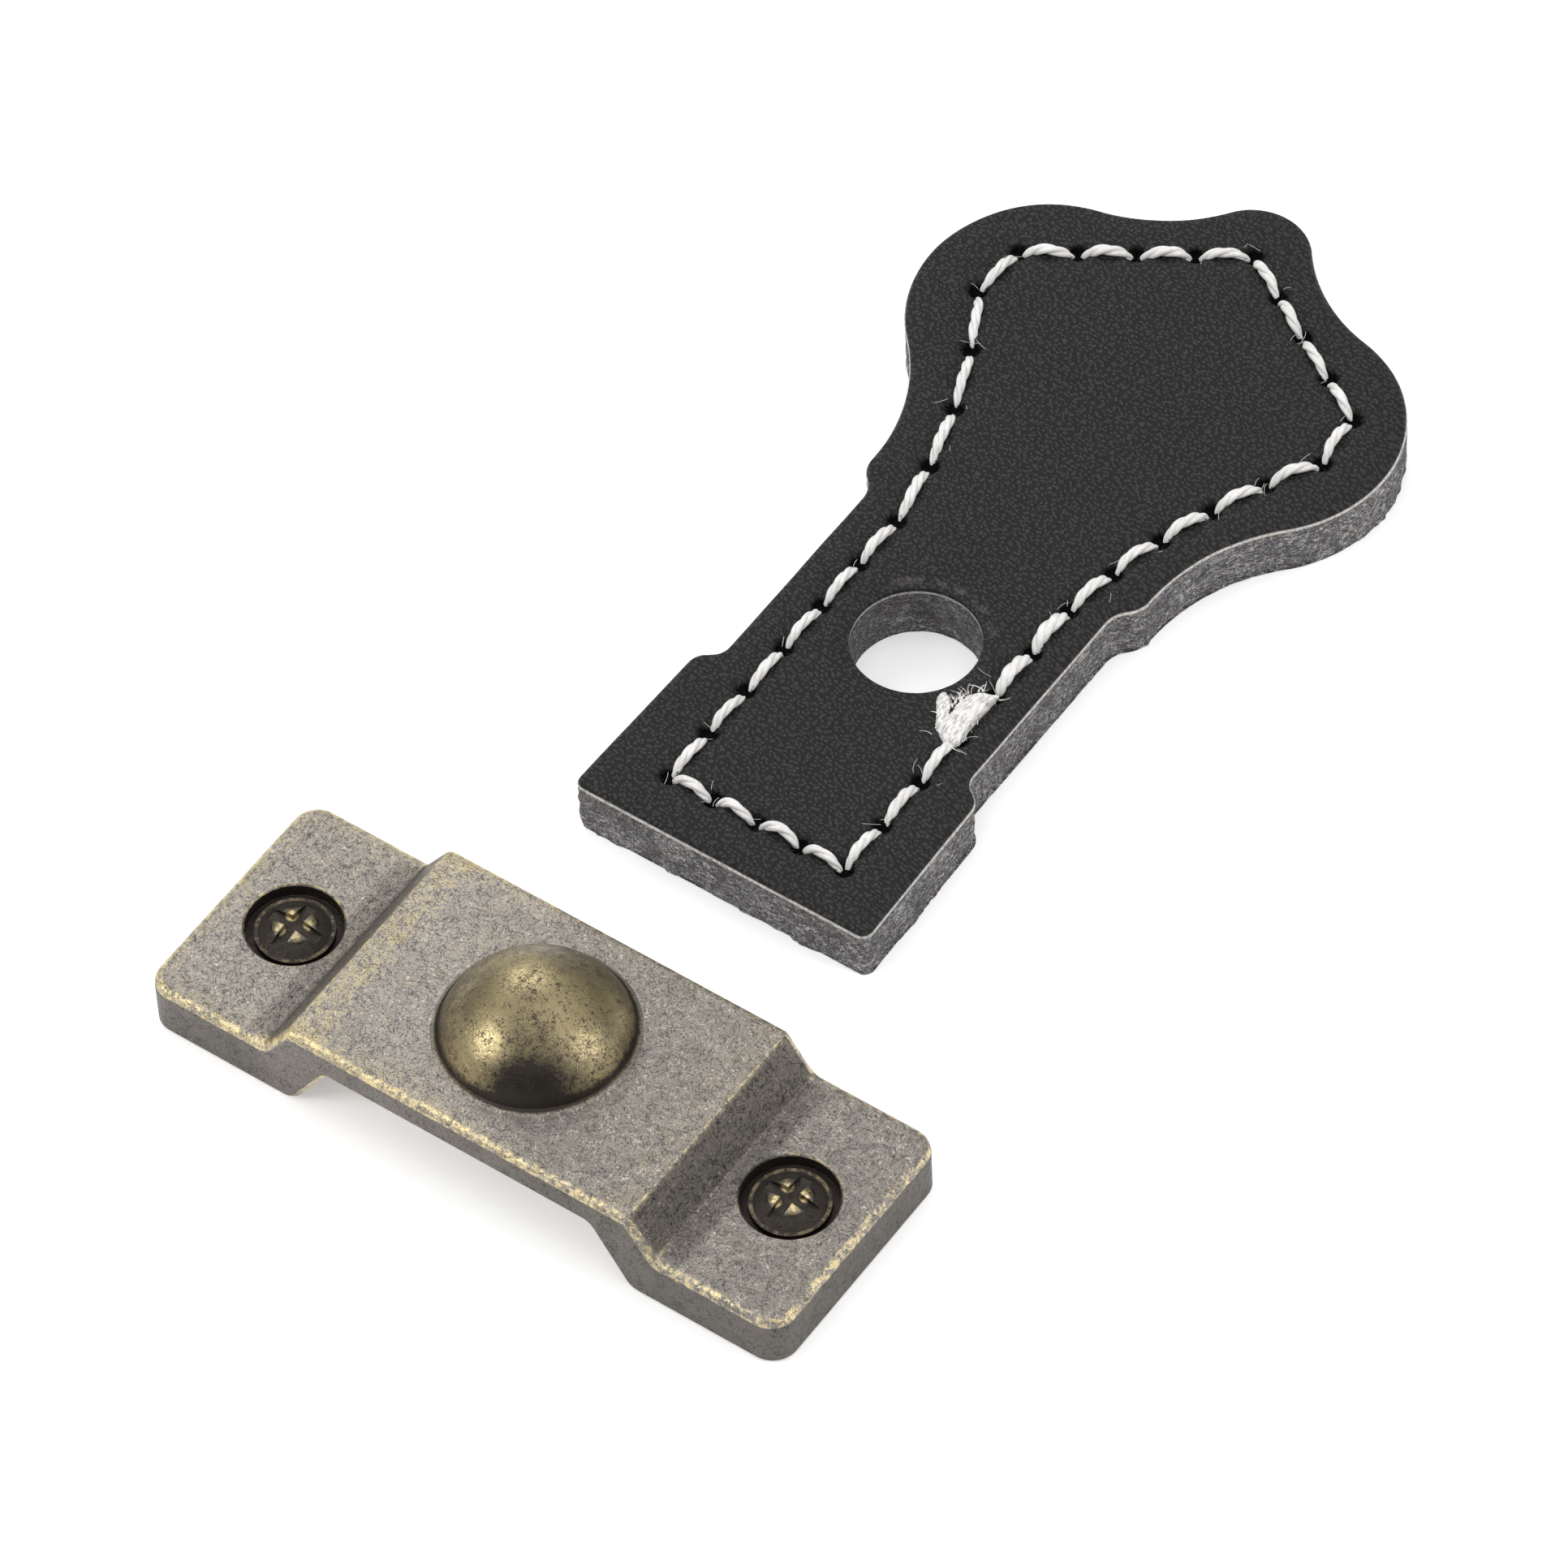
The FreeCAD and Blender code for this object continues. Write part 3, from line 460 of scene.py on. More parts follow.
class Graph:
    """A new material and its node graph."""

    def __init__(self, name):
        self.material = bpy.data.materials.new(name)
        self.material.use_nodes = True
        self.tree = self.material.node_tree
        self.tree.nodes.clear()
        self.objects = Wire(self, self.tree.nodes.new("ShaderNodeTexCoord").outputs["Object"])

    def node(self, kind, settings=None, values=None, output=0):
        """Add a node: its settings first, then the values or links of its sockets."""
        node = self.tree.nodes.new(kind)
        for key, setting in (settings or {}).items():
            setattr(node, key, setting)
        for key, value in (values or {}).items():
            socket = node.inputs[key]
            if isinstance(value, Wire):
                self.tree.links.new(value.socket, socket)
            else:
                socket.default_value = value
        return Wire(self, node.outputs[output])

    def axes(self, vector):
        return [self.node("ShaderNodeSeparateXYZ", None, {0: vector}, output=axis) for axis in range(3)]

    def vector(self, x, y, z):
        return self.node("ShaderNodeCombineXYZ", None, {0: x, 1: y, 2: z})

    def stretched(self, vector, factors):
        return self.node("ShaderNodeVectorMath", {"operation": "MULTIPLY"}, {0: vector, 1: factors})

    def noise(self, size, detail=3.0, roughness=0.55, at=None, warp=0.0):
        """Cloudy noise whose main patches are about the size given, in metres."""
        return self.node("ShaderNodeTexNoise", {"noise_dimensions": "3D"},
                         {"Vector": at or self.objects, "Scale": 1.0 / size, "Detail": detail,
                          "Roughness": roughness, "Distortion": warp})

    def lines(self, size, detail, roughness=0.5, at=None, warp=1.5):
        """Winding lines: near 0 where a warped noise crosses its middle value."""
        return abs(self.noise(size, detail, roughness, at, warp) - 0.5)

    def cells(self, size, at=None, randomness=1.0, dimensions="3D"):
        """Distance within cells of about the size given, in metres, in space or in the plane of the
        first two coordinates."""
        return self.node("ShaderNodeTexVoronoi", {"voronoi_dimensions": dimensions},
                         {"Vector": at or self.objects, "Scale": 1.0 / size, "Randomness": randomness})

    def mix(self, share, first, second):
        """Blend two colours, each a wire or three numbers."""
        first, second = [tuple(shade) + (1.0,) if not isinstance(shade, Wire) else shade
                         for shade in (first, second)]
        return self.node("ShaderNodeMix", {"data_type": "RGBA"}, {0: share, 6: first, 7: second}, output=2)

    def coated(self, shade, *coats):
        """Lay coats over a shade in turn, each given as its share and its colour."""
        for share, coat in coats:
            shade = self.mix(share, shade, coat)
        return shade

    def bumped(self, height, distance, strength=1.0):
        """Normal of a surface that rises and falls by a height."""
        return self.node("ShaderNodeBump", None,
                         {"Height": height, "Distance": distance, "Strength": strength})

    def finish(self, **sockets):
        """Join a Principled shader, with its sockets by name, to the output."""
        named = {key.replace("_", " ").title().replace("Ior", "IOR"): value for key, value in sockets.items()}
        surface = self.node("ShaderNodeBsdfPrincipled", None, named)
        self.node_output(surface)
        return self.material

    def node_output(self, surface):
        output = self.tree.nodes.new("ShaderNodeOutputMaterial")
        self.tree.links.new(surface.socket, output.inputs["Surface"])


def tone(shade, factor):
    """A colour made lighter or darker by a factor."""
    return [part * factor for part in shade]


def span(x, y):
    """Length of a line in the plan, from its two parts."""
    return (x * x + y * y).power(0.5)


# Finish of the bracket, with distances in millimetres from its middle

RECESS_SPAN = 21.6
SLOT_FLANK = 0.78


def bracket_zones(graph):
    """Masks over the bracket: each is a product of smooth steps of the place and of the tilt of the
    surface, which is 1 where it lies level and 0 where it stands upright."""
    x, y, z = [axis / MM for axis in graph.axes(graph.objects)]
    x, y = x - BRACKET_MIDDLE[0] / MM, y - BRACKET_MIDDLE[1] / MM
    _, tilt_y, tilt = [abs(axis) for axis in graph.axes(graph.node("ShaderNodeNewGeometry", output=1))]
    side, depth, radius = abs(x), abs(y), span(x, y)
    recess = span(side - RECESS_SPAN, y)
    forwards, aside = x * 0.5 - y * 0.87, abs(x * 0.87 + y * 0.5)
    flank = span(abs(side - RECESS_SPAN) - SLOT_FLANK, depth - SLOT_FLANK)
    zone = SimpleNamespace()
    zone.upright = tilt.step(0.3, 0.1)
    zone.dome = radius.step(7.5, 7.0) * z.step(7.9, 8.2)
    zone.dome_foot = z.step(9.0, 8.2)
    zone.dome_ring = radius.step(6.7, 7.0) * radius.step(7.4, 7.1) * z.step(7.7, 7.9)
    # Painted reflections on the dome: a dark patch on its front foot and a dark strip between its highlights,
    # laid out along forwards, which points to the camera's side in the plan
    zone.dome_shadow = forwards.step(4.5, 6.4) * aside.step(5.0, 1.2)
    zone.dome_strip = forwards.step(-3.0, 4.0) * aside.step(2.6, 0.5)
    zone.slope = (side.step(14.4, 15.0) * side.step(17.6, 16.6) * tilt_y.step(0.35, 0.15)
                  * tilt.step(0.9, 0.75))
    zone.slope_foot = side.step(16.6, 17.1) * side.step(19.2, 18.2) * z.step(5.9, 5.3) * depth.step(9.3, 8.6)
    zone.rims = (tilt.step(0.985, 0.90) * tilt.step(0.12, 0.35) * (1 - zone.dome) * (1 - zone.slope)
                 * recess.step(3.4, 3.8) * radius.step(7.6, 8.2) * z.step(1.2, 2.4) * (1 - zone.slope_foot))
    zone.near_rims = depth.step(7.2, 9.6).at_least(side.step(25.0, 27.0))
    zone.bridge_ends = side.step(11.4, 12.9) * z.step(7.2, 7.8) * (1 - zone.upright)
    zone.recess = recess.step(3.75, 3.5) * z.step(4.75, 4.6) * z.step(0.6, 1.2)
    zone.screw_face = flank.step(0.75, 0.10) * recess.step(2.2, 1.9) * z.step(3.6, 3.8)
    zone.screw_rim = recess.step(2.62, 2.70) * recess.step(2.98, 2.90) * z.step(3.9, 4.0)
    # Painted shade: darker towards the right of the bridge, where the light falls off, and darker on the ears
    zone.far_half = (x + y * 0.4).step(-9.0, 5.0) * 0.75 + side.step(16.0, 18.0) * 0.2
    return zone


def antique_brass(shades):
    """Cast antique brass: grey-brown patina with brass flecks, worn brass rims and dome, dark hollows,
    painted highlights on the rims and the screw heads, painted dark reflections on the dome and painted shade
    towards the right of the bridge.
    """
    graph = Graph("antique_brass")
    zone = bracket_zones(graph)
    rims, dome, off_dome, level = zone.rims, zone.dome, 1 - zone.dome, 1 - zone.upright
    clouds = graph.noise(7 * MM, 4.0)
    mottle = graph.noise(0.6 * MM, 6.0, 0.75)
    grit = graph.noise(0.17 * MM, 4.0, 0.75)
    cracks = graph.lines(1.3 * MM, 2.0)
    strokes = graph.lines(0.65 * MM, 2.0, warp=2.0).step(0.030, 0.006).at_least(
        graph.lines(0.40 * MM, 1.0, warp=1.6).step(0.028, 0.005) * 0.8)
    strokes = strokes * graph.noise(1.1 * MM, 2.0).step(0.40, 0.58)

    flecks = mottle + grit * 0.8 + clouds * 0.35 + zone.near_rims * 0.13 + zone.bridge_ends * 0.10
    flecks = flecks.step(1.12, 1.26)
    worn_flats = (rims * (mottle + grit * 0.6 + rims * 0.2).step(0.78, 1.06)
                  + flecks * 0.42 * level + zone.bridge_ends * flecks * 0.4).clamp()
    dome_dark = (mottle * 0.8 + grit * 0.8 + clouds * 0.9 - strokes * 0.25).step(1.36, 1.06)
    worn = worn_flats * off_dome + (1 - dome_dark * 0.6) * dome
    # Dirt and painted shade together: cracks, specks and mottled dirt, near-black tarnish in the recesses and
    # a dark ring round the dome. The slopes and their feet, the upright sides and the dome's lower band are
    # darker. On the dome's front there is a painted dark reflection and a painted dark strip
    dirt_and_painted_shade = (cracks.step(0.012, 0.003) * 0.35 * (1 - rims)
            + (mottle + grit - strokes * 0.2).step(0.93, 0.74) * 0.5
            + graph.cells(0.5 * MM).step(0.14, 0.05) * 0.3
            + zone.slope * (0.35 + clouds * 0.3) + zone.slope_foot * 0.35 + zone.recess * 0.96
            + zone.upright * (1 - rims) * (0.25 + 0.35 * clouds) + zone.dome_ring * 0.65
            + dome * (dome_dark * 0.45 + zone.dome_foot * 0.35 + zone.dome_shadow * 0.85
                      + zone.dome_strip * 0.50)).clamp()
    # Worn brass and painted highlights on the screw heads: at the inner corners of the quadrants beside the
    # cross, and in a thin line on each screw's rim
    wear_and_painted_glint = zone.screw_face.step(0.2, 0.7) * mottle.step(0.36, 0.56) * 0.95
    wear_and_painted_glint = (wear_and_painted_glint + zone.screw_rim * mottle.step(0.45, 0.6) * 0.22).clamp()

    patina, brass = shades.patina, shades.brass
    shade = graph.coated(
        graph.mix(worn, patina, brass),
        (clouds.step(0.40, 0.60) * 0.35 * off_dome, tone(patina, 0.72)),
        # Painted shade of the light's fall-off, darker towards the right of the bridge and on the ears
        (zone.far_half.clamp() * off_dome, tone(patina, 0.66)),
        (grit.step(0.52, 0.36) * 0.70 * off_dome, tone(patina, 0.30)),
        (strokes * level * off_dome * 0.95, tone(patina, 2.3)),
        (dome * 0.80, tone(brass, 0.54)),
        # Worn brass on the rims, made lighter still as a painted highlight
        (rims * mottle.step(0.46, 0.60) * 0.8, tone(brass, 1.5)),
        # Tarnish laid over the dirt and over the painted shade and reflections
        (dirt_and_painted_shade, shades.tarnish),
        (wear_and_painted_glint, tone(brass, 1.2)))
    roughness = 0.21 + dirt_and_painted_shade * 0.10 + grit * 0.14 - rims * 0.16 + off_dome * 0.21 - zone.screw_face * 0.15
    height = (grit * 0.6 + mottle * 0.7 + strokes * 0.25 - cracks.step(0.02, 0.0) * 0.4 - dirt_and_painted_shade * 0.4
              + zone.screw_face * 7.0) * (1 - dome * 0.6)
    return graph.finish(base_color=shade, roughness=roughness, metallic=0.92,
                        normal=graph.bumped(height, 0.05 * MM, 0.9))


# Finishes of the tab and its thread

def from_hole(graph, tab):
    """Distances across and along the tab from the middle of the punched hole, in millimetres."""
    x, y, _ = graph.axes(graph.objects)
    return (x - TAB_MIDDLE - tab.punch_offset) / MM, (y - TAB_END - tab.hole_distance) / MM


def leather_skin(shades, tab):
    """Black skin with a fine pebble grain, painted lighter and greyer on the crests and darker in the
    valleys, with a pale cut edge and painted shade in the needle pits.
    """
    graph = Graph("black_leather")
    x, y, z = graph.axes(graph.objects)
    pit = graph.node("ShaderNodeAttribute", {"attribute_name": "pit"}, output=2)
    patches = graph.noise(0.9 * MM, 2.0)
    wavy = graph.noise(0.7 * MM, 2.0)
    bent = graph.vector(x * 0.78 - y * 0.06 + wavy * 0.25 * MM, y * 1.05 + x * 0.12 + wavy * 0.35 * MM, 0.0)
    pebbles = graph.cells(0.34 * MM, bent, 0.85, "2D")
    rows = graph.noise(0.30 * MM, 3.0, 0.6, at=graph.vector(x * 0.55, y * 1.1 + x * 0.14, 0.0), warp=0.5)
    folds = graph.noise(3.5 * MM, 3.0, 0.6)
    dust = graph.noise(0.3 * MM, 4.0, 0.7)
    fine = graph.noise(0.12 * MM, 2.0)
    underside = CORE_HIGH[2] / MM
    cut = (z / MM).step(underside + 0.27, underside + 0.17) * pit.step(0.2, 0.05)
    crests = (pebbles.step(0.70, 0.10) * 0.75 + rows * 0.6).step(0.30, 1.0)
    across, along = from_hole(graph, tab)
    radius = span(across, along)
    scuff = radius.step(5.2, 5.4) * radius.step(6.0, 5.7) * along.step(2.5, 4.4)
    # Painted light and shade on the grain: the skin is lighter on the crests and darker in the valleys
    shade = graph.coated(
        graph.mix(crests * (0.4 + patches * 1.2), tone(shades.skin, 0.45), tone(shades.skin, 2.1)),
        # Painted highlight: pale grey on the crests of the rows
        (rows.step(0.60, 0.72) * patches.step(0.40, 0.60) * 0.30, (0.055, 0.050, 0.051)),
        (dust.step(0.68, 0.76) * 0.3, (0.30, 0.27, 0.24)),
        (scuff * patches.step(0.42, 0.62) * (0.4 + dust) * 0.13, (0.35, 0.33, 0.31)),
        (cut * (0.45 + 0.55 * dust.step(0.3, 0.6)), shades.skin_edge))
    height = crests * 0.6 + rows * 0.3 + fine * 0.25 + folds * 0.9
    roughness = 0.56 + folds * 0.14 - crests * 0.14 + dust * 0.08 + cut * 0.3
    skin = graph.node("ShaderNodeBsdfPrincipled", None, {
        "Base Color": shade, "Roughness": roughness.clamp(), "Specular IOR Level": 0.30,
        "Normal": graph.bumped(height, 0.13 * MM)})
    # Painted shade: a black shader with no reflection fills the needle pits over their real dents
    hollow = graph.node("ShaderNodeBsdfPrincipled", None, {
        "Base Color": (0.002, 0.002, 0.002, 1.0), "Roughness": 1.0, "Specular IOR Level": 0.0})
    share = pit.step(0.10, 0.55) * 0.93
    graph.node_output(graph.node("ShaderNodeMixShader", None, {0: share, 1: skin, 2: hollow}))
    return graph.material


def bonded_fibre(shades, tab):
    """Bonded leather fibre: pale and dark fibres lying flat, with a few blue and brown ones, and painted
    shade on the wall of the punched hole.
    """
    graph = Graph("grey_fibre")
    flat = graph.stretched(graph.objects, (1.0, 1.0, 1.7))
    strands = graph.noise(0.55 * MM, 6.0, 0.8, at=flat, warp=0.6)
    hairs = graph.lines(0.8 * MM, 3.0, 0.6, at=graph.stretched(graph.objects, (1.0, 1.0, 3.0)), warp=1.4)
    patches = graph.noise(2.6 * MM, 3.0)
    grains = graph.noise(0.20 * MM, 3.0, 0.75)
    tint = graph.noise(0.7 * MM, 2.0, at=flat)
    pale = (strands * 0.9 + grains * 0.45 + patches * 0.25 + hairs.step(0.06, 0.01) * 0.18).step(0.80, 1.08)
    # Painted shade: the fibre darkens on the wall of the punched hole
    hole_wall_painted_shade = span(*from_hole(graph, tab)).step(5.6, 5.3)
    shade = graph.coated(
        graph.mix(pale, shades.fibre_dark, shades.fibre_light),
        (tint.step(0.58, 0.70) * 0.35, (0.12, 0.13, 0.22)),
        (tint.step(0.42, 0.30) * 0.40, (0.24, 0.17, 0.12)),
        (hole_wall_painted_shade * 0.30, tone(shades.fibre_dark, 0.8)))
    height = strands * 0.8 + pale * 0.6 + grains * 0.4
    return graph.finish(base_color=shade, roughness=0.93, specular_ior_level=0.2,
                        normal=graph.bumped(height, 0.16 * MM, 0.9))


def twisted_thread(shades):
    """White polyester thread: fine filaments run along each ply, with painted shade in the grooves between
    them and a little grey soil.
    """
    graph = Graph("white_thread")
    lay = graph.node("ShaderNodeUVMap", {"uv_map": "lay"})
    filaments = graph.noise(0.16, 3.0, 0.6, at=graph.stretched(lay, (0.5, 7.0, 1.0)))
    soil = graph.noise(1.6 * MM, 3.0)
    # Painted shade in the filaments' grooves, and a little grey soil in patches
    shade = graph.mix((filaments.step(0.60, 0.35) * 0.38 + soil.step(0.58, 0.40) * 0.14).clamp(),
                      shades.thread, (0.38, 0.36, 0.33))
    return graph.finish(base_color=shade, roughness=0.48, sheen_weight=0.25, specular_ior_level=0.45,
                        normal=graph.bumped(filaments, 0.05 * MM, 0.8))


def melted_thread(shades):
    """Melted and smeared thread: milky and satin, with stringy ridges along the seam."""
    graph = Graph("melted_thread")
    strings = graph.noise(0.5 * MM, 5.0, 0.7, at=graph.stretched(graph.objects, (2.6, 0.8, 1.0)))
    spots = graph.noise(0.9 * MM, 3.0)
    shade = graph.mix(strings.step(0.35, 0.6), (0.42, 0.40, 0.38), shades.thread)
    shade = graph.mix(spots.step(0.60, 0.72) * 0.35, shade, (0.30, 0.28, 0.26))
    return graph.finish(base_color=shade, roughness=0.5,
                        normal=graph.bumped(strings, 0.12 * MM, 0.9))


def plain_fuzz(name, shade):
    """One colour with darker patches, for loose fibres."""
    graph = Graph(name)
    patches = graph.noise(0.4 * MM, 3.0)
    return graph.finish(base_color=graph.mix(patches, shade, tone(shade, 0.6)), roughness=0.8)


# Pieces of the tab

ROUND_COUNT = 720


def tab_lines(tab, near_rows, far_rows, rim_rows):
    """Outline, the matching points on the hole's rim, and rows of points between them. A line runs
    from each point of the outline to a collar round the hole and the middle of the fan, straight
    towards the nearest point of the line between those two, and from the collar straight to the
    hole. The rows lie closer over the first few millimetres, where the seam is, and at the rim."""
    outline = tab_outline(tab, ROUND_COUNT)
    middle = np.array([tab.punch_offset, tab.hole_distance])
    heart = np.stack([np.full(ROUND_COUNT, tab.punch_offset),
                      np.clip(outline[:, 1], tab.hole_distance, tab.fan_distance - 6 * MM)], -1)
    away = outline - heart
    reach = np.linalg.norm(away, axis=-1, keepdims=True)
    collar_radius = tab.hole + 0.7 * MM
    collar = heart + away / reach * collar_radius
    spoke = collar - middle
    rim = middle + spoke / np.linalg.norm(spoke, axis=-1, keepdims=True) * tab.hole
    reach = reach - collar_radius
    near = np.minimum(10 * MM, 0.62 * reach)
    steps = np.concatenate([np.linspace(0, 1, near_rows)[:, None, None] * near,
                            near + np.linspace(0, 1, far_rows + 1)[1:, None, None] * (reach - near)])
    inner = 1 - (1 - np.linspace(0, 1, rim_rows + 1)[1:, None, None]) ** 2
    plan = np.concatenate([outline + (collar - outline) * steps / reach, collar + (rim - collar) * inner])
    return outline, rim, plan


def hole_turns(rim, tab):
    """Share of a full turn at which each point of the hole's rim lies."""
    angle = np.arctan2(rim[:, 1] - tab.hole_distance, rim[:, 0] - tab.punch_offset)
    return angle / (2 * np.pi) % 1.0


def layers(turns, up, seed):
    """Fibre layers of a cut wall: three noises drawn out along the wall, coarse to fine."""
    return (0.5 * lattice_noise(turns * 80, up * 13, seed, 80)
            + 0.35 * lattice_noise(turns * 240, up * 22, seed + 1, 240)
            + 0.15 * lattice_noise(turns * 720, up * 26, seed + 2, 720))


def ring_of(plan, height):
    """Join plan points and heights, and move them to where the tab lies."""
    height = np.broadcast_to(height, plan.shape[:-1])
    return np.stack([plan[..., 0] + TAB_MIDDLE, plan[..., 1] + TAB_END, height], -1)


def outward(line):
    """Unit normals of a closed counter-clockwise line, pointing out of it."""
    ahead = np.roll(line, -1, axis=0) - np.roll(line, 1, axis=0)
    return np.stack([ahead[:, 1], -ahead[:, 0]], -1) / np.linalg.norm(ahead, axis=-1, keepdims=True)


def skin_mesh(tab, seam):
    """Skin of the tab as one closed ring of rows. The rows run from the hole's lower rim up its wall,
    over the top to the outline, down the rounded edge and back below. On the top, the height is the
    flat face less an edge roll, a valley along the seam, a dent at each needle hole and a ring about
    the hole, each a bell or exponential curve of a distance, plus a slow noise and fine creases."""
    top, bottom = FACE_HIGH[2], FACE_LOW[2] - 0.01 * MM
    outline, rim, plan = tab_lines(tab, near_rows=78, far_rows=12, rim_rows=22)
    holes = needle_holes(tab, seam)
    to_edge = distance_to_line(plan, outline)
    to_seam = distance_to_line(plan, holes)
    to_needle = distance_to_points(plan, holes)
    from_middle = plan - [tab.punch_offset, tab.hole_distance]
    to_rim = np.linalg.norm(from_middle, axis=-1) - tab.hole
    crease = np.sin(np.arctan2(from_middle[..., 1], from_middle[..., 0]) * 23)
    ripple = lattice_noise(plan[..., 0] / (4 * MM), plan[..., 1] / (4 * MM), 3)
    dent = np.exp(-(to_needle / tab.needle) ** 3)
    height = (top - 0.05 * MM + 0.05 * MM * ripple
              - tab.edge_roll * np.exp(-to_edge / (1.3 * MM))
              - tab.valley * bump(to_seam, 1.0 * MM) - 0.72 * MM * dent
              + 0.05 * MM * bump(to_needle - 1.2 * MM, 0.4 * MM) * (1 - bump(to_seam, 0.6 * MM))
              - 0.16 * MM * bump(to_rim, 0.7 * MM) + 0.05 * MM * bump(to_rim - 1.5 * MM, 0.6 * MM)
              + 0.02 * MM * crease * bump(to_rim - 0.8 * MM, 0.7 * MM))
    round_off = np.clip(1 - to_edge / tab.edge_round, 0, 1)
    height = height - tab.edge_round * (1 - np.sqrt(1 - round_off ** 2 * 0.96))
    height = np.maximum(height, bottom + 0.06 * MM)
    upper = ring_of(plan, height)[::-1]
    wobble = lattice_noise(np.arange(ROUND_COUNT) / 6.0, np.zeros(ROUND_COUNT), 5, ROUND_COUNT // 6)
    edge = outline + outward(outline) * (0.015 * MM * wobble)[:, None]
    wall = [ring_of(edge, height[0] + (bottom - height[0]) * share) for share in (0.3, 0.65, 1.0)]
    hole_wall = [ring_of(rim, bottom + (height[-1] - bottom) * share) for share in (0.0, 0.35, 0.7)]
    # One row from each stretch of the plan closes the hidden underside
    below = [ring_of(plan[number], bottom) for number in (40, 84, 100)]
    rows = np.concatenate([hole_wall, upper, wall, below])
    pit = np.zeros(rows.shape[:2])
    pit[len(hole_wall):len(hole_wall) + len(upper)] = dent[::-1]
    mesh = grid_mesh("tab_skin", rows[None], wrap_rows=True, wrap_columns=True)
    mesh.attributes.new("pit", "FLOAT", "POINT").data.foreach_set("value", pit.reshape(-1))
    return mesh


def core_mesh(tab, seam):
    """Core of the tab as one closed ring of rows: up the hole's wall, over the hidden top, down the
    cut outer wall and back along the underside. The walls are pushed in and out by noise drawn out
    along the outline, the lower edge is ragged, and the underside sinks in a groove for the thread."""
    top, bottom = CORE_HIGH[2] - 0.02 * MM, CORE_LOW[2]
    outline, rim, plan = tab_lines(tab, near_rows=50, far_rows=10, rim_rows=14)
    turns, up = np.meshgrid(np.arange(ROUND_COUNT) / ROUND_COUNT, np.linspace(0.0, 1.0, 26))
    below_top = 1 - up ** 12
    slow = lattice_noise(turns * 30, up * 2, 14, 30)
    ragged = (lattice_noise(turns[0] * 180, turns[0] * 0, 15, 180)
              + 0.5 * lattice_noise(turns[0] * 480, turns[0] * 0, 16, 480))
    push = layers(turns, up, 11) * 0.13 * MM + slow * 0.05 * MM - 0.12 * MM * (1 - up) ** 3 - 0.06 * MM
    push = push * below_top + 0.20 * MM * ragged * np.exp(-up / 0.06)
    lift = bottom + (top - bottom) * up + np.maximum(0, 0.14 * MM * ragged) * np.exp(-up / 0.05)
    wall = ring_of(outline + outward(outline) * push[..., None], lift)[::-1]
    around = np.broadcast_to(hole_turns(rim, tab), up.shape)
    bite = 0.09 * MM * np.abs(layers(around * 0.2, up, 18)) * below_top
    away = (rim - [tab.punch_offset, tab.hole_distance]) / tab.hole
    hole_wall = ring_of(rim + away * bite[..., None], bottom + (top - bottom) * up)
    # One row from each stretch of the plan closes the hidden top
    over = [ring_of(plan[number], top) for number in (66, 45, 20)]
    to_seam = distance_to_line(plan, needle_holes(tab, seam))
    grain = lattice_noise(plan[..., 0] / (0.7 * MM), plan[..., 1] / (0.7 * MM), 17)
    under = (bottom + seam.back_thread * 1.9 * bump(to_seam, seam.back_thread * 1.5)
             + 0.03 * MM * np.abs(grain)
             + np.maximum(lift[0] - bottom, 0) * np.exp(-distance_to_line(plan, outline) / (0.3 * MM)))
    below = ring_of(plan, under)[1:-1]
    rows = np.concatenate([hole_wall, over, wall, below])
    return grid_mesh("tab_core", rows[None], wrap_rows=True, wrap_columns=True)


STITCH_INSET = 0.06
PLIES = 3
PLY_OFFSET = 0.43
PLY_RADIUS = 0.57


def stitch_paths(start, finish, low, high, steps, bow, generator):
    """Middle lines of the stitches. From needle hole to needle hole both the height and a small
    bow to the left follow 1 less the 2.4th power of the distance from the middle. A stitch starts
    and ends a small share of its length inside the two holes."""
    share = np.linspace(0.0, 1.0, steps)
    arch = 1 - np.abs(2 * share - 1) ** 2.4
    start, finish = start + (finish - start) * STITCH_INSET, finish - (finish - start) * STITCH_INSET
    run = finish - start
    left = np.stack([-run[:, 1], run[:, 0]], -1) / np.linalg.norm(run, axis=-1, keepdims=True)

    def spread(reach):
        return generator.uniform(-reach, reach, (len(start), 1)) * MM

    aside = (bow + spread(0.08)) * arch
    aside = aside + spread(0.10) * np.sin(2 * np.pi * share)
    plan = start[:, None] + run[:, None] * share[:, None] + left[:, None] * aside[..., None]
    return ring_of(plan, low + (high - low + spread(0.06)) * arch)


def plied(paths, radius, twist, sides, generator):
    """Twist the plies of a thread about its middle line: each ply's middle circles the line once a
    twist, at a share of the thread's radius. The thread narrows to a tail at both ends, by the root
    of 1 less a power of the distance from the middle."""
    count, steps = paths.shape[:2]
    first, second, pace = square_to(paths)
    travel = np.cumsum(pace, axis=1)
    swell = 0.16 + 0.84 * (1 - np.abs(np.linspace(-1.0, 1.0, steps)) ** 3.4) ** 0.55
    size = np.broadcast_to(radius, count)[:, None] * swell
    size = size * (1 + generator.uniform(-0.06, 0.06, (count, 1)))
    phase = generator.uniform(0, 2 * np.pi, (count, 1))
    strands = []
    for ply in range(PLIES):
        turn = phase - 2 * np.pi * (travel / twist + ply / PLIES)
        circle = np.cos(turn)[..., None] * first + np.sin(turn)[..., None] * second
        strands.append(tubes(paths + circle * (size * PLY_OFFSET)[..., None], size * PLY_RADIUS, sides))
    return np.concatenate(strands)


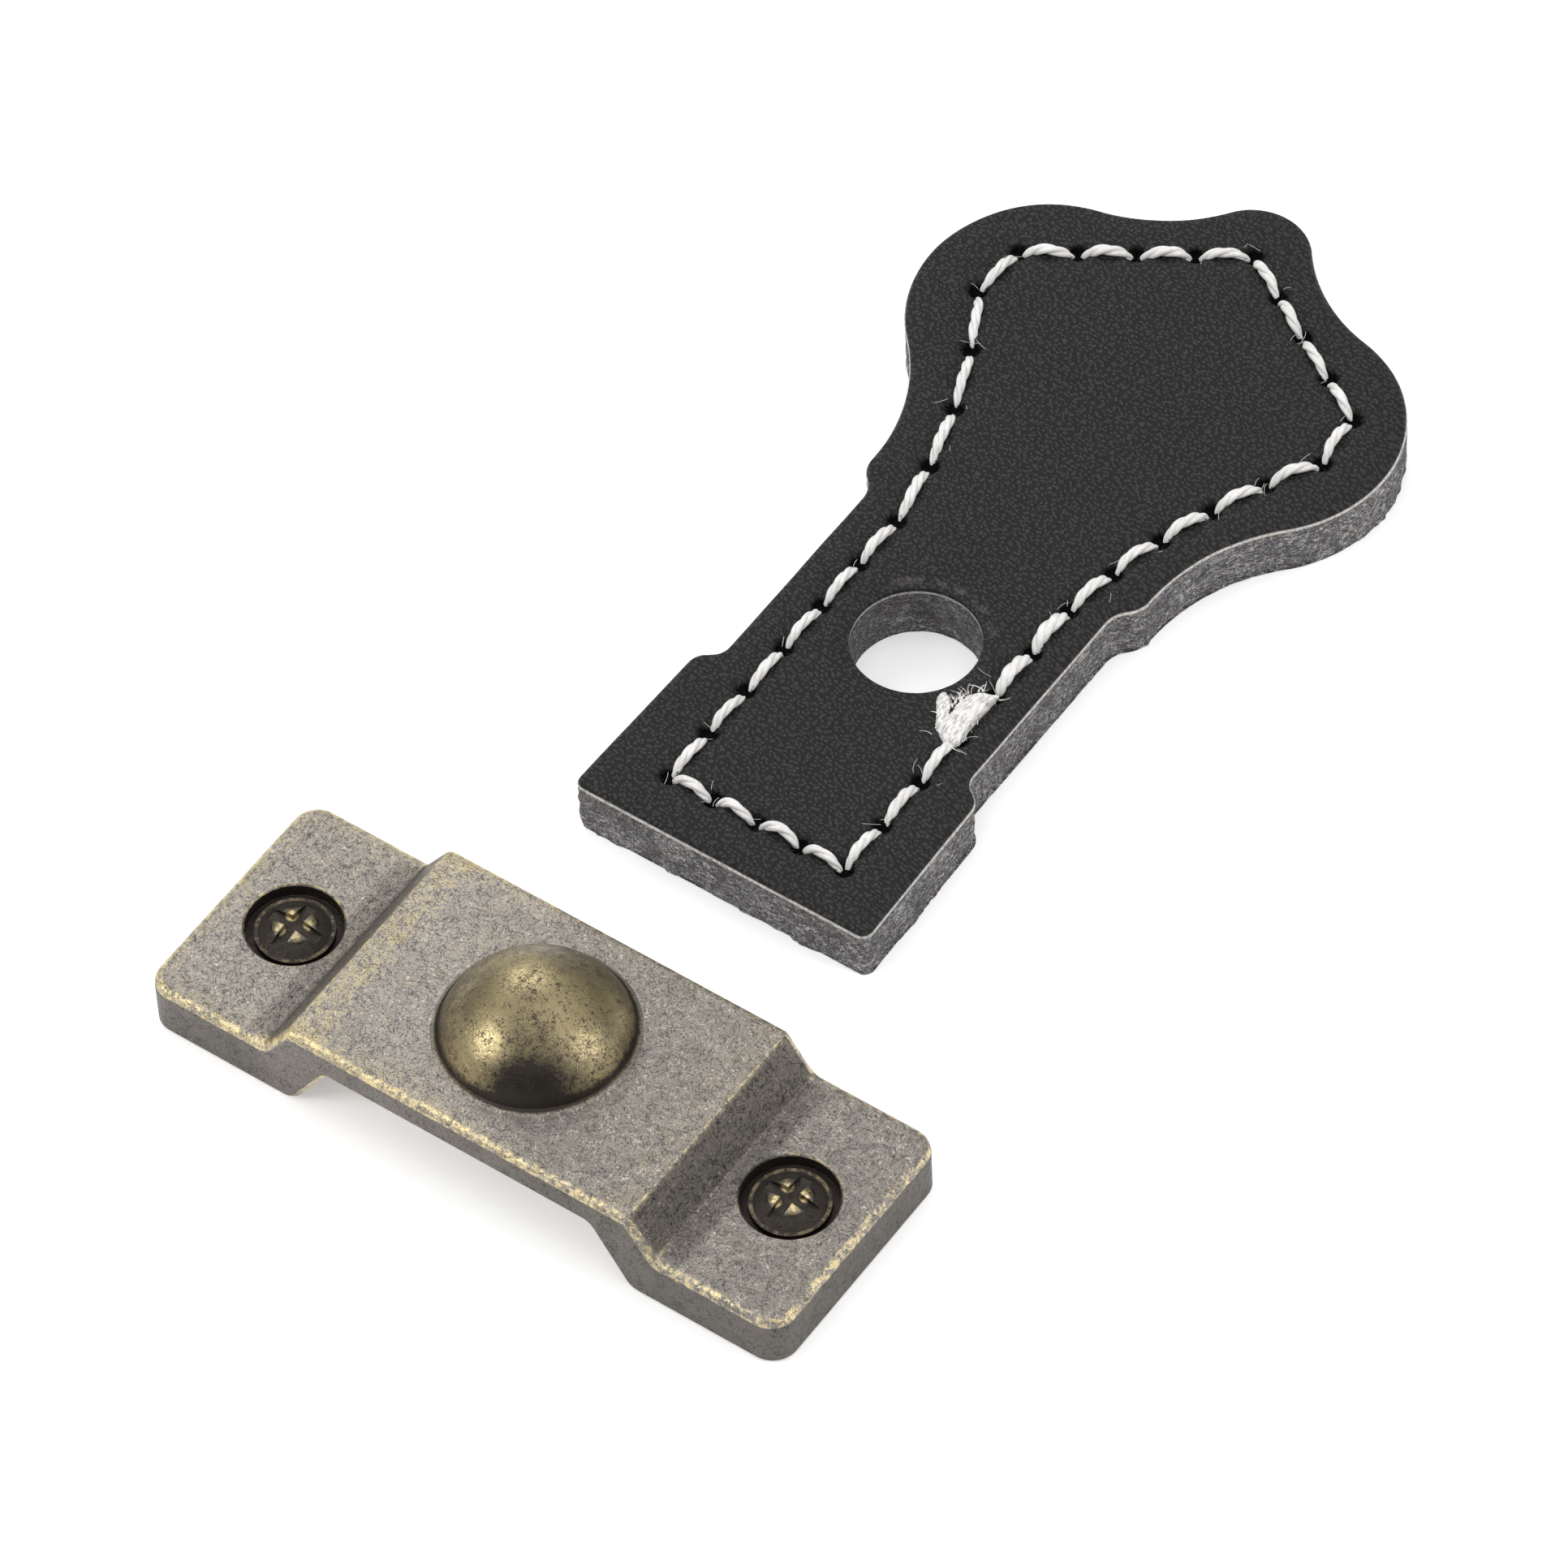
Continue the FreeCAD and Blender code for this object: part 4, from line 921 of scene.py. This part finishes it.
def lay_of(patches, lengths=4.0):
    """UV of each tube: the first runs along it, over some lengths of the pattern, and the second
    round it."""
    count, rows, columns = patches.shape[:3]
    along = np.broadcast_to(np.linspace(0, lengths, rows)[None, :, None], (count, rows, columns))
    around = np.broadcast_to((np.arange(columns) / columns)[None, None, :], (count, rows, columns))
    offset = np.arange(count)[:, None, None] * 0.37
    return np.stack([along + offset, around + offset * 1.7], -1)


def smear(start, finish, base, height, left, right, seed):
    """A flat lump of melted thread along a run. Its half widths to the left and right are read off
    numbers spaced evenly along the run, in millimetres. A section is half an ellipse of the
    height given above the base and flat a little below it, frayed by noise."""
    share, angle = np.meshgrid(np.linspace(0, 1, 90), np.linspace(0, 2 * np.pi, 96, endpoint=False),
                               indexing="ij")
    run = finish - start
    reach = np.hypot(*run)
    side = np.array([-run[1], run[0]]) / reach
    steps = np.linspace(0, 1, len(left))
    to_left, to_right = [np.interp(share, steps, widths) * MM for widths in (left, right)]
    turns = angle / (2 * np.pi)
    fray = (0.10 * lattice_noise(turns * 24, share * 22, seed, 24)
            + 0.07 * lattice_noise(turns * 48, share * 46, seed + 1, 48))
    swing = np.sign(np.cos(angle)) * np.abs(np.cos(angle)) ** 0.8
    across = np.where(np.cos(angle) > 0, to_left, to_right) * swing * (1 + fray)
    thick = height * np.sqrt(np.clip(1 - (2 * share - 1) ** 4, 0, 1))
    thick = thick * np.minimum(1, (to_left + to_right) / (1.2 * MM))
    rough = 1 + 0.20 * lattice_noise(turns * 20, share * 16, seed + 2, 20) + 0.15 * fray
    plan = start + run * share[..., None] + side * across[..., None]
    patch = ring_of(plan, base + np.maximum(thick * np.sin(angle) * rough, -0.15 * MM))
    patch[[0, -1]] = patch[[0, -1]].mean(axis=1, keepdims=True)
    return patch


def wisps(root, level, heading, rise, reach, droop, steps, generator):
    """Middle lines of loose fibres: each leaves its root in its heading and its rise, curls aside by a
    square of the way and sinks by its droop, a share of its reach."""
    root = ring_of(root, level)
    ahead = np.concatenate([heading, rise[:, None]], -1)
    share = np.linspace(0.0, 1.0, steps)[None, :, None]
    side = np.cross(ahead, [0.0, 0.0, 1.0])
    curl = generator.uniform(-0.8, 0.8, (len(root), 1))
    reach = reach[:, None, None]
    path = root[:, None] + ahead[:, None] * reach * share + (side * curl)[:, None] * reach * share ** 2
    path[..., 2] -= droop * (reach * share ** 2)[..., 0]
    return path


def compass(angle):
    """Unit vectors in the plan at some angles."""
    return np.stack([np.cos(angle), np.sin(angle)], -1)


# Operators: one for each piece or group of like pieces, and one for the stage

class PullOperator:
    """What the operators share: the sizes and colours kept in the scene."""
    bl_options = {"REGISTER", "UNDO"}

    @property
    def tab(self):
        return bpy.context.scene.leather_pull_tab

    @property
    def seam(self):
        return bpy.context.scene.leather_pull_seam

    @property
    def shades(self):
        return bpy.context.scene.leather_pull_finishes


class LEATHERPULL_OT_bracket(PullOperator, bpy.types.Operator):
    """Give the cast bracket its antique brass finish"""
    bl_idname = "leather_pull.bracket"
    bl_label = "Finish the bracket"

    def execute(self, context):
        node = frame["nodes"]["bracket"]
        material = antique_brass(self.shades)
        if not node.material_slots:
            node.data.materials.append(material)
        for slot in node.material_slots:
            slot.material = material
        return {"FINISHED"}


class LEATHERPULL_OT_tab(PullOperator, bpy.types.Operator):
    """Make the tab's grained skin and its fibre core"""
    bl_idname = "leather_pull.tab"
    bl_label = "Make the leather tab"

    def execute(self, context):
        tab, seam = self.tab, self.seam
        place("tab_skin", skin_mesh(tab, seam), leather_skin(self.shades, tab),
              ["leather_face"])
        place("tab_core", core_mesh(tab, seam), bonded_fibre(self.shades, tab),
              ["leather_core"])
        return {"FINISHED"}


class LEATHERPULL_OT_seam(PullOperator, bpy.types.Operator):
    """Sew the seam with twisted thread on the face and the back"""
    bl_idname = "leather_pull.seam"
    bl_label = "Sew the seam"

    def execute(self, context):
        tab, seam = self.tab, self.seam
        generator = np.random.RandomState(21)
        start = needle_holes(tab, seam)
        finish = np.roll(start, -1, axis=0)
        top, back = FACE_HIGH[2], CORE_LOW[2] + seam.back_thread * 1.3
        material = twisted_thread(self.shades)
        # The last two stitches of the right row are slack and thicker
        thick = np.full(len(start), seam.thread)
        slack = seam.end_stitches + seam.neck_stitches
        thick[slack - 2:slack] *= 1.3
        for name, node, low, high, steps, bow, radius, sides in (
                ("seam_thread", "top_thread", top - 1.05 * MM, top + 0.22 * MM, 34, 0.10, thick, 12),
                ("back_seam_thread", "back_thread", back + 0.6 * MM, back, 26, -0.05, seam.back_thread, 10)):
            paths = stitch_paths(start, finish, low, high, steps, bow * MM, generator)
            strands = plied(paths, radius, seam.twist, sides, generator)
            place_tubes(name, strands, material, [node], lay_of(strands))
        return {"FINISHED"}


class LEATHERPULL_OT_melted_end(PullOperator, bpy.types.Operator):
    """Add the melted thread end beside the hole"""
    bl_idname = "leather_pull.melted_end"
    bl_label = "Add the melted end"

    # Half widths to the left and right of each run, in millimetres
    body_widths = ((0.1, 1.55, 2.0, 1.75, 1.75, 1.85, 1.85, 1.75, 1.15, 0.15),
                   (0.1, 0.45, 0.5, 0.25, 0.20, 0.15, 0.12, 0.10, 0.05, 0.0))
    prong_widths = ((0.1, 0.5, 0.55, 0.5, 0.5, 0.55, 0.5, 0.2),
                    (0.1, 0.5, 0.5, 0.42, 0.45, 0.5, 0.4, 0.1))
    # Single fibres: across and along from the seam's row, heading in degrees, reach
    single_fibres = np.array([[0.3, 20.6, -30, 0.55], [0.35, 19.7, -40, 0.5], [0.5, 18.9, -55, 0.45],
                              [0.1, 17.5, -25, 1.1], [0.6, 22.9, 10, 0.8], [-1.5, 17.6, 165, 1.0],
                              [-2.3, 19.4, 150, 0.5]])

    def execute(self, context):
        top = FACE_HIGH[2] - 0.12 * MM
        row = np.array([self.tab.punch_offset + self.seam.neck_width / 2, 0.0])
        material = melted_thread(self.shades)
        body = smear(row + [-0.05 * MM, 17.4 * MM], row + [0.42 * MM, 23.4 * MM], top, 0.62 * MM,
                     *self.body_widths, 31)
        prong = smear(row + [-0.9 * MM, 18.0 * MM], row + [-3.15 * MM, 21.5 * MM], top, 0.58 * MM,
                      *self.prong_widths, 35)
        place_tubes("melted_end", np.stack([body, prong]), material, ["top_thread"])
        generator = np.random.RandomState(33)
        count = 26
        share = generator.uniform(0.0, 1.0, count)
        brush = np.stack([-1.75 + 1.2 * share ** 3, 20.4 + 2.6 * share, generator.normal(138, 22, count),
                          generator.uniform(0.5, 1.3, count)], -1)
        across, along, heading, reach = np.concatenate([brush, self.single_fibres]).T
        root = row + np.stack([across, along], -1) * MM
        rise = generator.uniform(0.0, 0.35, len(root))
        path = wisps(root, top + 0.22 * MM, compass(np.radians(heading)), rise, reach * MM, 0.3, 10,
                     generator)
        radius = generator.uniform(0.03, 0.07, len(root))[:, None] * MM * np.linspace(1.0, 0.3, 10)
        place_tubes("melted_wisps", tubes(path, radius, 6), material, ["top_thread"])
        return {"FINISHED"}


class LEATHERPULL_OT_fuzz(PullOperator, bpy.types.Operator):
    """Fray the needle holes and leave a few loose fibres"""
    bl_idname = "leather_pull.fuzz"
    bl_label = "Fray the needle holes"

    def execute(self, context):
        generator = np.random.RandomState(41)
        holes = needle_holes(self.tab, self.seam)
        each, count = 16, 60
        angle = generator.uniform(0, 2 * np.pi, (len(holes), each))
        ring = generator.uniform(0.45, 0.85, angle.shape)[..., None] * MM
        root = (holes[:, None] + compass(angle) * ring).reshape(-1, 2)
        rise = generator.uniform(0.1, 1.0, len(root))
        steep = np.sqrt(1 + rise ** 2)
        heading = compass(angle).reshape(-1, 2) / steep[:, None]
        reach = generator.uniform(0.25, 0.75, len(root)) * MM
        path = wisps(root, FACE_HIGH[2] - 0.42 * MM, heading, rise / steep, reach, 0.25, 7, generator)
        radius = generator.uniform(0.02, 0.05, len(root))[:, None] * MM * np.linspace(1, 0.3, 7)
        place_tubes("needle_fuzz", tubes(path, radius, 4),
                    plain_fuzz("black_fuzz", (0.012, 0.011, 0.011)))
        pick = generator.randint(0, len(holes), count)
        root = holes[pick] + generator.normal(0, 0.7 * MM, (count, 2))
        heading = compass(generator.uniform(0, 2 * np.pi, count))
        rise = generator.uniform(0, 0.5, count)
        reach = generator.uniform(0.4, 1.5, count) * MM
        path = wisps(root, FACE_HIGH[2] - 0.1 * MM, heading, rise, reach, 0.3, 9, generator)
        place_tubes("loose_fibres", tubes(path, np.full((count, 9), 0.018 * MM), 4),
                    plain_fuzz("white_fuzz", (0.75, 0.74, 0.72)))
        return {"FINISHED"}


class LEATHERPULL_OT_stage(PullOperator, bpy.types.Operator):
    """Set up the floor, the lights and the camera"""
    bl_idname = "leather_pull.stage"
    bl_label = "Set up the stage"

    # Axes of the camera, and its place from the bracket's middle
    camera_right = Vector((0.81808, 0.57418, -0.03253))
    camera_up = Vector((-0.43371, 0.65311, 0.62075))
    camera_offset = (0.281155, -0.337542, 0.587498)

    def execute(self, context):
        stage = context.scene.leather_pull_stage
        self.lay_floor(stage.floor)
        world = bpy.data.worlds.new("studio")
        world.use_nodes = True
        self.surroundings(world.node_tree, stage.sky)
        context.scene.world = world
        self.light("overhead", (0.05, -0.05, 1.1), (0, 0, 0), 0.70, stage.key)
        self.light("back_left", (-0.40, 0.36, 0.46), (0, -0.04, 0), 0.36, stage.fill * 0.8)
        self.light("front_left", (-0.40, -0.50, 0.40), (0, -0.04, 0), 0.24, stage.fill)
        self.light("right", (0.62, 0.14, 0.33), (0, -0.04, 0), 0.22, stage.fill * 0.9)
        self.set_camera(stage.lens)
        context.scene.view_settings.view_transform = "Standard"
        return {"FINISHED"}

    def lay_floor(self, half):
        """Lay a white floor, which glows a little, out to half its width on each side."""
        corners = np.array([[[-half, -half, 0], [half, -half, 0]], [[-half, half, 0], [half, half, 0]]])
        floor = bpy.data.objects.new("floor", grid_mesh("floor", corners[None]))
        floor.data.materials.append(Graph("floor").finish(
            base_color=(0.93, 0.93, 0.93, 1.0), roughness=0.9, specular_ior_level=0.1,
            emission_color=(1, 1, 1, 1), emission_strength=0.3))
        bpy.context.scene.collection.objects.link(floor)

    def set_camera(self, lens):
        """Set the camera up as the photograph has it, by its place and its axes."""
        camera = bpy.data.objects.new("camera", bpy.data.cameras.new("camera"))
        camera.data.lens = lens
        camera.data.sensor_width = 36.0
        camera.data.sensor_fit = "HORIZONTAL"
        camera.data.clip_start = 0.05
        across, back, high = self.camera_offset
        at = Vector((across + BRACKET_MIDDLE[0], back + BRACKET_MIDDLE[1], high))
        axes = (self.camera_right, self.camera_up, self.camera_right.cross(self.camera_up))
        camera.matrix_world = Matrix.Translation(at) @ Matrix(axes).transposed().to_4x4()
        bpy.context.scene.collection.objects.link(camera)
        bpy.context.scene.camera = camera

    def surroundings(self, tree, strength):
        """Light the room from above: grey at the horizon and brighter towards the ceiling."""
        direction = tree.nodes.new("ShaderNodeTexCoord").outputs["Generated"]
        split = tree.nodes.new("ShaderNodeSeparateXYZ")
        ramp = tree.nodes.new("ShaderNodeMapRange")
        ramp.interpolation_type = "SMOOTHSTEP"
        for socket, number in ((1, 0.20), (2, 0.85), (3, strength * 0.12), (4, strength)):
            ramp.inputs[socket].default_value = number
        tree.links.new(direction, split.inputs[0])
        tree.links.new(split.outputs[2], ramp.inputs[0])
        tree.nodes["Background"].inputs["Color"].default_value = (1.0, 1.0, 1.0, 1.0)
        tree.links.new(ramp.outputs[0], tree.nodes["Background"].inputs["Strength"])

    def light(self, name, at, towards, size, power):
        """Add a soft square light that faces a point."""
        data = bpy.data.lights.new(name, "AREA")
        data.shape = "SQUARE"
        data.size = size
        data.energy = power
        lamp = bpy.data.objects.new(name, data)
        lamp.location = at
        lamp.rotation_euler = (Vector(towards) - Vector(at)).to_track_quat("-Z", "Y").to_euler()
        bpy.context.scene.collection.objects.link(lamp)


class LEATHERPULL_PT_panel(bpy.types.Panel):
    """Sizes, colours and steps of the leather pull"""
    bl_idname = "LEATHERPULL_PT_panel"
    bl_label = "Leather pull"
    bl_space_type = "VIEW_3D"
    bl_region_type = "UI"
    bl_category = "Leather pull"

    def draw(self, context):
        for operator in OPERATORS:
            self.layout.operator(operator.bl_idname)
        for group in (context.scene.leather_pull_tab, context.scene.leather_pull_seam,
                      context.scene.leather_pull_finishes, context.scene.leather_pull_stage):
            box = self.layout.box()
            for name in group.__annotations__:
                box.prop(group, name)


OPERATORS = (LEATHERPULL_OT_bracket, LEATHERPULL_OT_tab, LEATHERPULL_OT_seam, LEATHERPULL_OT_melted_end,
             LEATHERPULL_OT_fuzz, LEATHERPULL_OT_stage)
GROUPS = {"leather_pull_tab": TabSizes, "leather_pull_seam": SeamSizes,
          "leather_pull_finishes": Finishes, "leather_pull_stage": StageSizes}


def register():
    for group in GROUPS.values():
        bpy.utils.register_class(group)
    for name, group in GROUPS.items():
        setattr(bpy.types.Scene, name, PointerProperty(type=group))
    for operator in OPERATORS:
        bpy.utils.register_class(operator)
    bpy.utils.register_class(LEATHERPULL_PT_panel)


def unregister():
    bpy.utils.unregister_class(LEATHERPULL_PT_panel)
    for operator in reversed(OPERATORS):
        bpy.utils.unregister_class(operator)
    for name in GROUPS:
        delattr(bpy.types.Scene, name)
    for group in reversed(GROUPS.values()):
        bpy.utils.unregister_class(group)


def main():
    register()
    bpy.ops.leather_pull.bracket()
    bpy.ops.leather_pull.tab()
    bpy.ops.leather_pull.seam()
    bpy.ops.leather_pull.melted_end()
    bpy.ops.leather_pull.fuzz()
    bpy.ops.leather_pull.stage()


if __name__ == "__main__":
    main()
